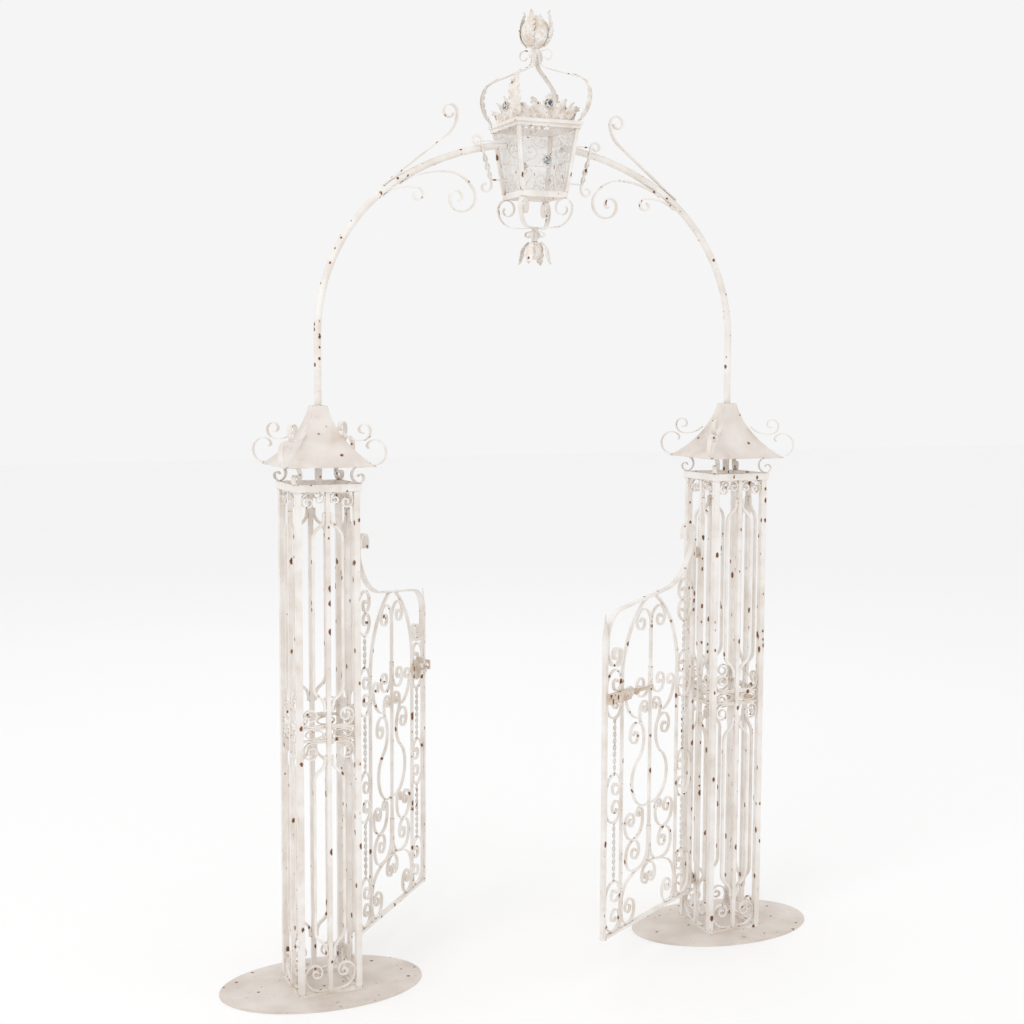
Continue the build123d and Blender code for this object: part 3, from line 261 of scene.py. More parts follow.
class Coat(Enum):
    """The finishes of the gateway, by where they are found."""

    BAR = AgedPaint("bar_paint")
    SCROLL = AgedPaint("scroll_paint", shade="#DDD3C8", cell_mm=17, chip_mm=6, edge_wear=0.55)
    TUBE = AgedPaint("tube_paint", cell_mm=19, chip_mm=7, chipped=0.6, edge_wear=0.2, stretch=0.9)
    FRAME = AgedPaint("stained_paint", shade="#D6C8B8", stained=0.55, chipped=0.5, edge_wear=0.7)
    ROOF = AgedPaint("roof_paint", paint="#E9E2DC", shade="#D5C9C0", stain="#C29F78", cloud_mm=120,
                     cell_mm=30, chip_mm=6, chipped=0.3, stained=0.25, edge_wear=0.9, stretch=1.0)
    PLATE = AgedPaint("ground_plate_paint", paint="#E2DAD3", shade="#CDC1B7", stain="#B59A80",
                      cloud_mm=170, cell_mm=24, chip_mm=6, chipped=0.4, stained=0.2, edge_wear=0.9,
                      stretch=1.0, roughness=0.6)
    FOLIAGE = AgedPaint("foliage_paint", shade="#D6C7B5", stain="#B98F55", cloud_mm=26, cell_mm=18,
                        chip_mm=5, chipped=0.35, stained=0.55, edge_wear=0.5, edge_mm=0.8, stretch=1.0)
    WIRE = AgedPaint("wire_paint", shade="#D2C8BE", cell_mm=20, chip_mm=5, edge_wear=0.0)
    WORN = AgedPaint("worn_iron_paint", paint="#DFD5C8", shade="#C2AD96", stain="#94683C", cloud_mm=30,
                     cell_mm=14, chip_mm=7, chipped=0.6, stained=0.6, edge_wear=1.0, roughness=0.55)
    BEAD = AgedPaint("weld_paint", paint="#D8C8B5", shade="#AD8C6A", stain="#8A5A33", cloud_mm=12,
                     cell_mm=9, chip_mm=4, chipped=0.6, stained=0.8, edge_wear=0.0, roughness=0.6)
    CRYSTAL = FoiledCrystal()


def material_of(coat: Coat) -> bpy.types.Material:
    """The material of a finish, built the first time that it is asked for."""
    found = bpy.data.materials.get(coat.value.name)
    return found or coat.value.build()


def slot_of(coat: Coat) -> str:
    """The record's material slot that a finish belongs to."""
    return {Coat.CRYSTAL: "crystal", Coat.WORN: "worn_iron"}.get(coat, "painted_iron")


# ---------------------------------------------------------------- meshes and pieces
def points_of(node: str) -> np.ndarray:
    """Every vertex of a frame node, as rows of x, y and z."""
    mesh = frame["nodes"][node].data
    flat = np.zeros(len(mesh.vertices) * 3, np.float32)
    mesh.vertices.foreach_get("co", flat)
    return flat.reshape(-1, 3).astype(float)


def islands_of(node: str) -> list[bmesh.types.BMesh]:
    """Splits a frame node into its separate solids.

    Args:
        node: The node's name.

    Returns:
        One merged mesh for each solid, in a steady order.
    """
    whole = bmesh.new()
    whole.from_mesh(frame["nodes"][node].data)
    bmesh.ops.remove_doubles(whole, verts=whole.verts, dist=0.02 * MM)
    whole.verts.ensure_lookup_table()
    seen: set[int] = set()
    found = []
    for first in whole.verts:
        if first.index in seen:
            continue
        group, waiting = [], [first]
        seen.add(first.index)
        while waiting:
            vertex = waiting.pop()
            group.append(vertex)
            for edge in vertex.link_edges:
                other = edge.other_vert(vertex)
                if other.index not in seen:
                    seen.add(other.index)
                    waiting.append(other)
        found.append(group)
    solids = []
    for group in found:
        solid = bmesh.new()
        copies = {vertex.index: solid.verts.new(vertex.co) for vertex in group}
        for face in {face.index: face for vertex in group for face in vertex.link_faces}.values():
            solid.faces.new([copies[corner.index] for corner in face.verts])
        solid.normal_update()
        solids.append(solid)
    whole.free()
    return solids


def span(points: np.ndarray) -> tuple[Vector, Vector]:
    """The lowest and the highest corner of some points."""
    return Vector(points.min(0)), Vector(points.max(0))


def new_object(name: str, mesh: bpy.types.Mesh) -> bpy.types.Object:
    """Puts a mesh into the scene under a name."""
    item = bpy.data.objects.new(name, mesh)
    bpy.context.scene.collection.objects.link(item)
    return item


def mesh_from(name: str, built: bmesh.types.BMesh, smooth: bool = True) -> bpy.types.Mesh:
    """Turns a bmesh into a mesh, with its faces outward, and frees it."""
    bmesh.ops.recalc_face_normals(built, faces=built.faces)
    mesh = bpy.data.meshes.new(name)
    built.to_mesh(mesh)
    built.free()
    mesh.polygons.foreach_set("use_smooth", [smooth] * len(mesh.polygons))
    return mesh


def applied(item: bpy.types.Object) -> bpy.types.Object:
    """Replaces an object's mesh by what its modifiers make of it, and removes them."""
    graph = bpy.context.evaluated_depsgraph_get()
    mesh = bpy.data.meshes.new_from_object(item.evaluated_get(graph))
    item.modifiers.clear()
    item.data = mesh
    return item


def hand_over(item: bpy.types.Object, body: str, coat: Coat, stands_for: Sequence[str] = ()) -> None:
    """Finishes a piece: its material, its body and the nodes that it replaces.

    Args:
        item: The finished object, at the origin.
        body: The frame body that it moves with.
        coat: Its finish; the record's material slot that it tells is looked up but not kept.
        stands_for: The frame nodes that it replaces.
    """
    if not item.data.materials:
        item.data.materials.append(material_of(coat))
    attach(item, body)
    slot_of(coat)
    if stands_for:
        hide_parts(*stands_for)
    LOG.info("%s: %d faces on %s", item.name, len(item.data.polygons), body)


def finish(name: str, built: bmesh.types.BMesh, body: str, coat: Coat, stands_for: Sequence[str] = (),
           smooth: bool = True) -> None:
    """Turns a built mesh into a finished piece; see hand_over for the rest."""
    hand_over(new_object(name, mesh_from(name, built, smooth)), body, coat, stands_for)


# ---------------------------------------------------------------- geometry node trees
class Trees:
    """The geometry node trees that make what repeats or follows a line."""

    @staticmethod
    def start(name: str, sizes: Iterable[tuple[str, str]]) -> bpy.types.NodeTree:
        """A new tree with a geometry input and output and the named inputs."""
        tree = bpy.data.node_groups.new(name, "GeometryNodeTree")
        tree.interface.new_socket("Geometry", in_out="INPUT", socket_type="NodeSocketGeometry")
        for label, kind in sizes:
            tree.interface.new_socket(label, in_out="INPUT", socket_type=kind)
        tree.interface.new_socket("Geometry", in_out="OUTPUT", socket_type="NodeSocketGeometry")
        return tree

    @staticmethod
    def end(tree: bpy.types.NodeTree, result: Any, material: Any) -> bpy.types.NodeTree:
        """Ends a tree in real geometry with its material."""
        real = add_node(tree, "GeometryNodeRealizeInstances", {"Geometry": result})
        dressed = add_node(tree, "GeometryNodeSetMaterial", {"Geometry": real, "Material": material})
        add_node(tree, "NodeGroupOutput", {0: dressed})
        return tree

    @classmethod
    def bar_along_lines(cls) -> bpy.types.NodeTree:
        """A flat bar swept along every line, turned about itself and swollen at mid length."""
        sizes = (("Wide", "NodeSocketFloat"), ("Thick", "NodeSocketFloat"), ("Step", "NodeSocketFloat"),
                 ("Turns per metre", "NodeSocketFloat"), ("Swell", "NodeSocketFloat"),
                 ("Material", "NodeSocketMaterial"))
        tree = cls.start("bar_along_lines", sizes)
        given = add_node(tree, "NodeGroupInput")
        line = add_node(tree, "GeometryNodeMeshToCurve", {"Mesh": given.outputs["Geometry"]})
        fine = add_node(tree, "GeometryNodeResampleCurve", {"Curve": line, "Length": given.outputs["Step"]},
                        mode="LENGTH")
        along = add_node(tree, "GeometryNodeSplineParameter")
        turns = compute(tree, "MULTIPLY", along.outputs["Length"], given.outputs["Turns per metre"])
        angle = compute(tree, "MULTIPLY", turns, math.tau)
        tilted = add_node(tree, "GeometryNodeSetCurveTilt", {"Curve": fine, "Tilt": angle})
        half_turn = compute(tree, "MULTIPLY", along.outputs["Factor"], math.pi)
        hump = compute(tree, "SINE", half_turn)
        grown = compute(tree, "MULTIPLY_ADD", hump, given.outputs["Swell"], 1.0)
        profile = add_node(tree, "GeometryNodeCurvePrimitiveQuadrilateral",
                           {"Width": given.outputs["Wide"], "Height": given.outputs["Thick"]})
        swept = add_node(tree, "GeometryNodeCurveToMesh",
                         {"Curve": tilted, "Profile Curve": profile, "Scale": grown, "Fill Caps": True})
        return cls.end(tree, swept, given.outputs["Material"])

    @classmethod
    def wire_along_lines(cls) -> bpy.types.NodeTree:
        """A round wire swept along every line."""
        sizes = (("Radius", "NodeSocketFloat"), ("Sides", "NodeSocketInt"),
                 ("Material", "NodeSocketMaterial"))
        tree = cls.start("wire_along_lines", sizes)
        given = add_node(tree, "NodeGroupInput")
        line = add_node(tree, "GeometryNodeMeshToCurve", {"Mesh": given.outputs["Geometry"]})
        profile = add_node(tree, "GeometryNodeCurvePrimitiveCircle",
                           {"Resolution": given.outputs["Sides"], "Radius": given.outputs["Radius"]})
        swept = add_node(tree, "GeometryNodeCurveToMesh",
                         {"Curve": line, "Profile Curve": profile, "Fill Caps": True})
        return cls.end(tree, swept, given.outputs["Material"])

    @classmethod
    def beads_on_points(cls) -> bpy.types.NodeTree:
        """A small uneven bead of weld on every point."""
        sizes = (("Radius", "NodeSocketFloat"), ("Seed", "NodeSocketInt"),
                 ("Material", "NodeSocketMaterial"))
        tree = cls.start("beads_on_points", sizes)
        given = add_node(tree, "NodeGroupInput")
        bead = add_node(tree, "GeometryNodeMeshIcoSphere",
                        {"Radius": given.outputs["Radius"], "Subdivisions": 2})
        size = add_node(tree, "FunctionNodeRandomValue", data_type="FLOAT_VECTOR")
        size.inputs[0].default_value = (0.8, 0.8, 0.9)
        size.inputs[1].default_value = (1.25, 1.25, 1.5)
        tree.links.new(given.outputs["Seed"], size.inputs["Seed"])
        spread = add_node(tree, "GeometryNodeInstanceOnPoints",
                          {"Points": given.outputs["Geometry"], "Instance": bead, "Scale": size})
        soft = add_node(tree, "GeometryNodeSetShadeSmooth", {"Geometry": spread})
        return cls.end(tree, soft, given.outputs["Material"])

    @staticmethod
    def run(item: bpy.types.Object, tree: bpy.types.NodeTree, values: dict[str, Any]) -> bpy.types.Object:
        """Runs a tree on an object and keeps only the plain mesh.

        Args:
            item: The object that holds the lines or the points.
            tree: The tree.
            values: The tree's inputs by their labels.

        Returns:
            The same object with its finished mesh.
        """
        modifier = item.modifiers.new(tree.name, "NODES")
        modifier.node_group = tree
        sockets = {s.name: s.identifier for s in tree.interface.items_tree if s.in_out == "INPUT"}
        for label, value in values.items():
            modifier[sockets[label]] = value
        return applied(item)


def lines_object(name: str, lines: Iterable[Sequence[Vector]]) -> bpy.types.Object:
    """An object that holds open lines for a tree to follow."""
    built = bmesh.new()
    for line in lines:
        corners = [built.verts.new(point) for point in line]
        for start, end in zip(corners, corners[1:]):
            built.edges.new((start, end))
    return new_object(name, mesh_from(name, built))


# ---------------------------------------------------------------- leaves of sheet iron
@dataclass
class Acanthus:
    """A leaf cut from sheet, with round lobes, raised veins and cupped sides."""

    half_width: float
    lobes: int = 5
    depth: float = 0.5
    cup: float = 0.18
    foot: float = 0.35
    sheet: float = 1.4 * MM
    rows_per_lobe: int = 8
    columns: int = 6

    def outline(self, share: float) -> float:
        """Half width at a share of the length, as a part of half_width."""
        opening = self.foot + (1 - self.foot) * min(1.0, share / 0.3) ** 0.7
        closing = max(0.0, 1 - share ** 2.4) ** 0.75
        phase = (share * self.lobes) % 1.0
        lobe = 1 - self.depth * (1 - math.sin(math.pi * min(1.0, phase + 0.12)) ** 0.6)
        return max(0.03, opening * closing * lobe)

    def add_to(self, built: bmesh.types.BMesh, spine: Sequence[Vector], across: Vector) -> None:
        """Adds one leaf along a spine.

        Args:
            built: The mesh that takes the leaf.
            spine: Points from the foot to the tip.
            across: The direction of the leaf's right-hand side.
        """
        rows = self.lobes * self.rows_per_lobe
        spots = [self._on(spine, row / rows) for row in range(rows + 1)]
        front, back = [], []
        for row, (place, along) in enumerate(spots):
            share = row / rows
            wide = self.half_width * self.outline(share)
            facing = across.cross(along).normalized()
            phase = (share * self.lobes) % 1.0
            line = []
            for column in range(-self.columns, self.columns + 1):
                side = column / self.columns
                sweep = abs(side) ** 1.5 * wide * 0.75 * (1 - share * 0.5)
                vein = math.cos(side * math.pi * 3 + phase * math.tau) * 0.04 * self.half_width
                rise = vein * (1 - abs(side)) - self.cup * wide * side * side
                ridge = math.exp(-(side * 7) ** 2) * 0.07 * self.half_width
                line.append(place + across * (wide * side) + along * sweep + facing * (rise + ridge))
            front.append([built.verts.new(point + facing * self.sheet / 2) for point in line])
            back.append([built.verts.new(point - facing * self.sheet / 2) for point in line])
        self._close(built, front, back)

    def _on(self, spine: Sequence[Vector], share: float) -> tuple[Vector, Vector]:
        """The point and the direction at a share of the spine."""
        place = share * (len(spine) - 1)
        index = min(int(place), len(spine) - 2)
        step = spine[index + 1] - spine[index]
        return spine[index] + step * (place - index), step.normalized()

    def _close(self, built: bmesh.types.BMesh, front: list, back: list) -> None:
        """Joins the two skins and the rim between them."""
        last = len(front[0]) - 1
        for row in range(len(front) - 1):
            for column in range(last):
                near = (front[row][column], front[row][column + 1],
                        front[row + 1][column + 1], front[row + 1][column])
                far = (back[row][column], back[row + 1][column],
                       back[row + 1][column + 1], back[row][column + 1])
                built.faces.new(near)
                built.faces.new(far)
            for column in (0, last):
                built.faces.new((front[row][column], front[row + 1][column],
                                 back[row + 1][column], back[row][column]))
        for row in (0, len(front) - 1):
            for column in range(last):
                built.faces.new((front[row][column], front[row][column + 1],
                                 back[row][column + 1], back[row][column]))


def outward(bearing: float) -> Vector:
    """The level direction at a bearing."""
    return Vector((math.cos(bearing), math.sin(bearing), 0.0))


def reach_at(node: str, bearing: float, height: float) -> float:
    """How far a frame node reaches from the upright axis in one direction at a height.

    Args:
        node: The node's name.
        bearing: The direction, in radians.
        height: The level of the cut.

    Returns:
        The longest reach along the bearing where the node's edges cross that level.
    """
    mesh = frame["nodes"][node].data
    points = points_of(node)
    pairs = np.zeros(len(mesh.edges) * 2, np.int32)
    mesh.edges.foreach_get("vertices", pairs)
    low, high = points[pairs.reshape(-1, 2)].transpose(1, 0, 2)
    share = (height - low[:, 2]) / np.where(high[:, 2] == low[:, 2], 1e9, high[:, 2] - low[:, 2])
    cut = low + (high - low) * share[:, None]
    way = np.array(outward(bearing))
    near = np.abs(cut[:, 0] * way[1] - cut[:, 1] * way[0]) < 0.012
    crossing = (share >= 0) & (share <= 1) & near & (low[:, 2] != high[:, 2])
    return float((cut[crossing] @ way).max())


@dataclass
class Crown:
    """The leaves on the lantern's rim and on the hoops above it."""

    set_in: float = 18 * MM
    hoop_leaf_rise: float = 150 * MM
    hoop_leaf: Acanthus = field(default_factory=lambda: Acanthus(24 * MM, lobes=6, foot=0.8, cup=0.3))
    fan_leaf: Acanthus = field(default_factory=lambda: Acanthus(24 * MM, lobes=4, foot=0.35, cup=0.3))
    fan: tuple = ((0.0, 0.0, 0.084), (0.024, 24.0, 0.080), (0.048, 46.0, 0.066), (0.074, 22.0, 0.054))

    def build(self) -> None:
        """Builds the leaves as one piece that stands for the plain plates."""
        rim_low, rim_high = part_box("lantern_rim")
        built = bmesh.new()
        for bearing in BEARINGS:
            self._side(built, bearing, rim_high.x - self.set_in, rim_high.z)
        for bearing in DIAGONALS:
            self._hoop_leaf(built, bearing, rim_high.z)
        finish("crown_foliage", built, "frame", Coat.FOLIAGE, ["crown_leaves"])

    def _side(self, built: bmesh.types.BMesh, bearing: float, reach: float, foot: float) -> None:
        """A fan of leaves along one side of the rim."""
        away, across = outward(bearing), outward(bearing + math.pi / 2)
        for at, lean, length in self.fan:
            for side in ((1,) if at == 0 else (-1, 1)):
                turn = math.radians(lean) * side
                spine = []
                for step in range(13):
                    share = step / 12
                    bend = turn * (0.4 + 0.8 * share)
                    out = 0.010 * share ** 2
                    spine.append(away * (reach + out + 0.05 * at)
                                 + across * (at * side + math.sin(bend) * length * share)
                                 + Vector((0, 0, foot + math.cos(bend) * length * share)))
                self.fan_leaf.add_to(built, spine, across)

    def _hoop_leaf(self, built: bmesh.types.BMesh, bearing: float, foot: float) -> None:
        """A long leaf up the outside of one hoop."""
        away, across = outward(bearing), outward(bearing + math.pi / 2)
        spine = []
        for step in range(25):
            height = foot + 0.006 + self.hoop_leaf_rise * step / 24
            reach = reach_at("crown_hoops", bearing, height) + 1.5 * MM
            spine.append(away * reach + Vector((0, 0, height)))
        self.hoop_leaf.add_to(built, spine, across)


def route(start: tuple[float, float], heading: float, bends: Sequence[tuple[float, float]],
          step: float = 9.0) -> list[tuple[float, float]]:
    """Follows a bar that is bent round a row of tangent arcs.

    Args:
        start: Where the bar starts, across and up.
        heading: Its first direction in degrees, from across towards up.
        bends: A radius and a turn to the left in degrees for each arc, or a length and 0.
        step: The turn between two points of an arc, in degrees.

    Returns:
        Points along the bar.
    """
    x, y = start
    points = [start]
    for size, sweep in bends:
        turn = math.radians(heading)
        if sweep == 0:
            x, y = x + size * math.cos(turn), y + size * math.sin(turn)
            points.append((x, y))
            continue
        side = math.copysign(1.0, sweep)
        centre = (x - side * size * math.sin(turn), y + side * size * math.cos(turn))
        count = max(2, math.ceil(abs(sweep) / step))
        for index in range(1, count + 1):
            now = math.radians(heading + sweep * index / count)
            x, y = centre[0] + side * size * math.sin(now), centre[1] - side * size * math.cos(now)
            points.append((x, y))
        heading += sweep
    return points


def lathe(built: bmesh.types.BMesh, centre: Vector, profile: Sequence[tuple[float, float]],
          gores: int, groove: float, around: int = 72) -> None:
    """Turns a profile round an upright axis, with shallow upright grooves.

    Args:
        built: The mesh that takes the shape.
        centre: A point on the axis.
        profile: Radius and height above the centre, from one pole to the other.
        gores: How many grooves run from pole to pole.
        groove: How deep a groove is, as a share of the radius.
        around: Points in each ring.
    """
    rings = []
    for radius, height in profile[1:-1]:
        ring = []
        for index in range(around):
            turn = math.tau * index / around
            crease = abs(math.sin(turn * gores / 2)) ** 0.35
            reach = radius * (1 - groove * (1 - crease))
            ring.append(built.verts.new(centre + outward(turn) * reach + Vector((0, 0, height))))
        rings.append(ring)
    for first, second in zip(rings, rings[1:]):
        for index in range(around):
            after = (index + 1) % around
            built.faces.new((first[index], first[after], second[after], second[index]))
    for pole, ring in ((profile[0], rings[0]), (profile[-1], rings[-1])):
        tip = built.verts.new(centre + Vector((0, 0, pole[1])))
        for index in range(around):
            built.faces.new((tip, ring[index], ring[(index + 1) % around]))


def egg_profile(radius: float, length: float, rows: int = 28) -> list[tuple[float, float]]:
    """Radius and height of an egg from its blunt end up to its point."""
    profile = []
    for row in range(rows + 1):
        height = length * (1 - math.cos(math.pi * row / rows)) / 2
        if height < radius:
            reach = math.sqrt(max(0.0, radius ** 2 - (radius - height) ** 2))
        else:
            share = (height - radius) / (length - radius)
            reach = radius * (1 - share ** 2.2) ** 0.8
        profile.append((reach, height))
    return profile


@dataclass
class Finial:
    """The gored bud at the very top and the four leaves that clasp it."""

    gores: int = 10
    groove: float = 0.06
    leaf: Acanthus = field(default_factory=lambda: Acanthus(22 * MM, lobes=6, foot=0.3, cup=0.35))
    loose_leaf: int = 3
    loose_lean: float = 7 * MM

    def build(self) -> None:
        """Builds the bud and its leaves."""
        low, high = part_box("finial_bud")
        centre = Vector((0, 0, low.z))
        bud = bmesh.new()
        lathe(bud, centre, egg_profile(high.x, high.z - low.z), self.gores, self.groove)
        finish("gored_bud", bud, "frame", Coat.FOLIAGE, ["finial_bud"])
        leaf_low, leaf_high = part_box("finial_leaves")
        leaves = bmesh.new()
        for index, bearing in enumerate(DIAGONALS):
            lean = self.loose_lean if index == self.loose_leaf else 0.0
            spine = []
            for step in range(25):
                share = step / 24
                height = leaf_low.z + 1.5 * MM + (leaf_high.z - leaf_low.z - 3 * MM) * share
                reach = reach_at("finial_leaves", bearing, height) - 1 * MM + lean * share
                spine.append(outward(bearing) * reach + Vector((0, 0, height)))
            self.leaf.add_to(leaves, spine, outward(bearing + math.pi / 2))
        finish("clasping_leaves", leaves, "frame", Coat.FOLIAGE, ["finial_leaves"])


@dataclass
class Pendant:
    """The hanging bud under the lantern with its four long petals."""

    gores: int = 8
    groove: float = 0.08
    bud_radius: float = 30 * MM
    bud_lift: float = 16 * MM
    petal: Acanthus = field(
        default_factory=lambda: Acanthus(19 * MM, lobes=3, depth=0.3, foot=0.3, cup=0.4))

    def build(self) -> None:
        """Builds the bud and its petals as one piece."""
        low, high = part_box("pendant_bud")
        built = bmesh.new()
        length = high.z - low.z - self.bud_lift
        profile = [(reach, -height) for reach, height in egg_profile(self.bud_radius, length)]
        lathe(built, Vector((0, 0, high.z)), profile, self.gores, self.groove)
        for bearing in DIAGONALS:
            spine = []
            for step in range(21):
                share = step / 20
                height = high.z - 3 * MM - (high.z - low.z - 4.5 * MM) * share
                reach = reach_at("pendant_bud", bearing, height) - 1 * MM + 6 * MM * share ** 2
                spine.append(outward(bearing) * reach + Vector((0, 0, height)))
            self.petal.add_to(built, spine, outward(bearing - math.pi / 2))
        finish("hanging_bud", built, "frame", Coat.FOLIAGE, ["pendant_bud"])


@dataclass
class Lantern:
    """The four see-through sides of the lantern: woven wire with thin scrolls laid on it."""

    pitch: float = 4.2 * MM
    wire: float = 0.35 * MM
    scroll_wire: float = 1.3 * MM
    post: float = 12 * MM
    low: float = field(init=False)
    high: float = field(init=False)
    reach_low: float = field(init=False)
    reach_high: float = field(init=False)

    def build(self) -> None:
        """Builds the woven wire and the scrolls."""
        points = points_of("lantern_panels")
        self.low, self.high = float(points[:, 2].min()), float(points[:, 2].max())
        near_low = points[points[:, 2] < self.low + 1 * MM]
        near_high = points[points[:, 2] > self.high - 1 * MM]
        self.reach_low, self.reach_high = float(near_low[:, 0].max()), float(near_high[:, 0].max())
        sweep = Trees.wire_along_lines()
        weave = lines_object("lantern_weave", self._weave())
        Trees.run(weave, sweep, {"Radius": self.wire, "Sides": 4, "Material": material_of(Coat.WIRE)})
        hand_over(weave, "frame", Coat.WIRE, ["lantern_panels"])
        scrolls = lines_object("lantern_filigree", self._scrolls())
        Trees.run(scrolls, sweep,
                  {"Radius": self.scroll_wire, "Sides": 8, "Material": material_of(Coat.SCROLL)})
        hand_over(scrolls, "frame", Coat.SCROLL)

    def _on_side(self, bearing: float, across: float, height: float, out: float = 0.0) -> Vector:
        """A point of one side from its place across and its height."""
        share = (height - self.low) / (self.high - self.low)
        reach = self.reach_low + (self.reach_high - self.reach_low) * share
        return (outward(bearing) * (reach + out - 1 * MM) + outward(bearing + math.pi / 2) * across
                + Vector((0, 0, height)))

    def _half(self, height: float) -> float:
        """Half the clear width of a side at a height."""
        share = (height - self.low) / (self.high - self.low)
        return self.reach_low + (self.reach_high - self.reach_low) * share - self.post / 2

    def _weave(self) -> Iterable[list[Vector]]:
        """The upright and the level wires of the four sides."""
        rows = round((self.high - self.low) / self.pitch)
        columns = round(2 * self._half((self.low + self.high) / 2) / self.pitch)
        for bearing in BEARINGS:
            for row in range(1, rows):
                height = self.low + (self.high - self.low) * row / rows
                half = self._half(height)
                yield [self._on_side(bearing, -half, height), self._on_side(bearing, half, height)]
            for column in range(1, columns):
                share = column / columns * 2 - 1
                yield [self._on_side(bearing, share * self._half(self.low), self.low, self.wire),
                       self._on_side(bearing, share * self._half(self.high), self.high, self.wire)]

    def _scrolls(self) -> Iterable[list[Vector]]:
        """The level wire at mid height and the scrolls above and below it."""
        middle = (self.low + self.high) / 2
        lift = self.scroll_wire + self.wire
        shapes = (((5, -96), 20, [(58, 62), (20, -110), (15, -90), (10, -90), (7, -90)]),
                  ((6, -70), 80, [(44, -40), (24, 150), (16, 90), (10, 90), (6, 90)]),
                  ((5, 6), 60, [(40, -50), (22, 140), (15, 90), (10, 90), (6, 90)]),
                  ((34, 92), -60, [(60, 40), (16, 130), (11, 90), (7, 90)]),
                  ((60, -90), 95, [(50, 18), (12, 130), (8, 90), (5, 90)]))
        for bearing in BEARINGS:
            half = self._half(middle)
            yield [self._on_side(bearing, -half, middle, lift), self._on_side(bearing, half, middle, lift)]
            for start, heading, bends in shapes:
                line = route(start, heading, bends)
                for side in (-1, 1):
                    yield [self._on_side(bearing, side * x * MM, middle + y * MM, lift) for x, y in line]


@dataclass
class Crystals:
    """Round cut stones in thin settings, one for each plain drop of the frame."""

    girdle: float = 15 * MM
    depth: float = 11 * MM
    sides: int = 8
    belts: tuple = ((0.8, 0.0, 0.0), (1.0, 0.25, 0.0), (0.78, 0.7, 0.5), (0.45, 0.95, 0.0))
    # Painted reflection: the greys, from dark to light, that the facets get in place of what they would
    # mirror.
    reflection_tones: tuple = (0.0, 0.1, 0.35, 0.75, 1.0)
    lantern_lean: float = 0.158

    def build(self) -> None:
        """Cuts a stone at each drop of the frame node."""
        reflection_tones = random.Random(7)
        stones = bmesh.new()
        layer = stones.faces.layers.float.new("facet_reflection")
        settings = bmesh.new()
        for solid in islands_of("crystals"):
            points = np.array([vertex.co for vertex in solid.verts])
            solid.free()
            centre = Vector((points.min(0) + points.max(0)) / 2)
            level = Vector((centre.x, centre.y, 0.0))
            way = Vector((round(level.normalized().x), round(level.normalized().y), 0.0))
            tilt = self.lantern_lean if centre.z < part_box("lantern_rim")[0].z else 0.0
            facing = (way * math.cos(tilt) - Vector((0, 0, math.sin(tilt)))).normalized()
            self._stone(stones, layer, reflection_tones, centre, facing)
            self._setting(settings, centre, facing)
        finish("cut_crystals", stones, "frame", Coat.CRYSTAL, ["crystals"], smooth=False)
        finish("crystal_settings", settings, "frame", Coat.WIRE)

    def _frame_of(self, facing: Vector) -> tuple[Vector, Vector]:
        """Two directions across the way that a stone faces."""
        across = Vector((-facing.y, facing.x, 0.0)).normalized()
        return across, facing.cross(across)

    def _ring(self, built: bmesh.types.BMesh, centre: Vector, facing: Vector, radius: float, out: float,
              turn: float, count: int) -> list:
        """A ring of points round the way that a stone faces."""
        across, above = self._frame_of(facing)
        angles = [math.tau * (index + turn) / count for index in range(count)]
        return [built.verts.new(centre + facing * out + across * radius * math.cos(a)
                                + above * radius * math.sin(a)) for a in angles]

    def _stone(self, built: bmesh.types.BMesh, layer: Any, reflection_tones: random.Random, centre: Vector,
               facing: Vector) -> None:
        """One stone: a girdle, two belts of facets and a flat table."""
        base = centre - facing * self.depth * 0.45
        belts = [self._ring(built, base, facing, self.girdle * wide, self.depth * out, turn, self.sides)
                 for wide, out, turn in self.belts]
        faces = []
        for first, second in zip(belts, belts[1:]):
            for index in range(self.sides):
                after = (index + 1) % self.sides
                faces.append(built.faces.new((first[index], first[after], second[index])))
                faces.append(built.faces.new((first[after], second[after], second[index])))
        faces.append(built.faces.new(belts[0][::-1]))
        faces.append(built.faces.new(belts[-1]))
        # Painted reflection: each face of the stone gets a random one of the reflection greys.
        for face in faces:
            face[layer] = reflection_tones.choice(self.reflection_tones)

    def _setting(self, built: bmesh.types.BMesh, centre: Vector, facing: Vector) -> None:
        """A thin ring of sheet round the back of one stone."""
        base = centre - facing * self.depth * 0.45
        rings = [self._ring(built, base, facing, self.girdle * wide, out, 0.0, 24)
                 for wide, out in ((1.06, 0.0), (1.1, 0.004), (1.03, 0.004), (0.99, 0.0))]
        for first, second in zip(rings, rings[1:] + rings[:1]):
            for index in range(24):
                after = (index + 1) % 24
                built.faces.new((first[index], first[after], second[after], second[index]))


@dataclass
class Hangers:
    """The twisted and swollen middle of the two bars that cross the tube ends."""

    at: float = 200 * MM
    crossing: float = 2800 * MM
    below_tube: float = 20 * MM
    lean: float = 16.0
    length: float = 90 * MM
    bar: float = 7 * MM
    wide: float = 13 * MM
    thick: float = 3.4 * MM
    turns: float = 1.6

    def build(self) -> None:
        """Builds both twists as one piece."""
        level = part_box("lantern_hangers")[0].y + self.bar / 2
        slope = math.radians(self.lean)
        lines = []
        for side in (-1, 1):
            line = []
            for share in (0.0, 0.5, 1.0):
                along = self.below_tube + self.length * share
                line.append(Vector((side * (self.at - math.sin(slope) * along), level,
                                    self.crossing - math.cos(slope) * along)))
            lines.append(line)
        twist = lines_object("hanger_twists", lines)
        Trees.run(twist, Trees.bar_along_lines(),
                  {"Wide": self.wide, "Thick": self.thick, "Step": 1.5 * MM,
                   "Turns per metre": self.turns / self.length, "Swell": 0.35,
                   "Material": material_of(Coat.SCROLL)})
        hand_over(twist, "frame", Coat.SCROLL)


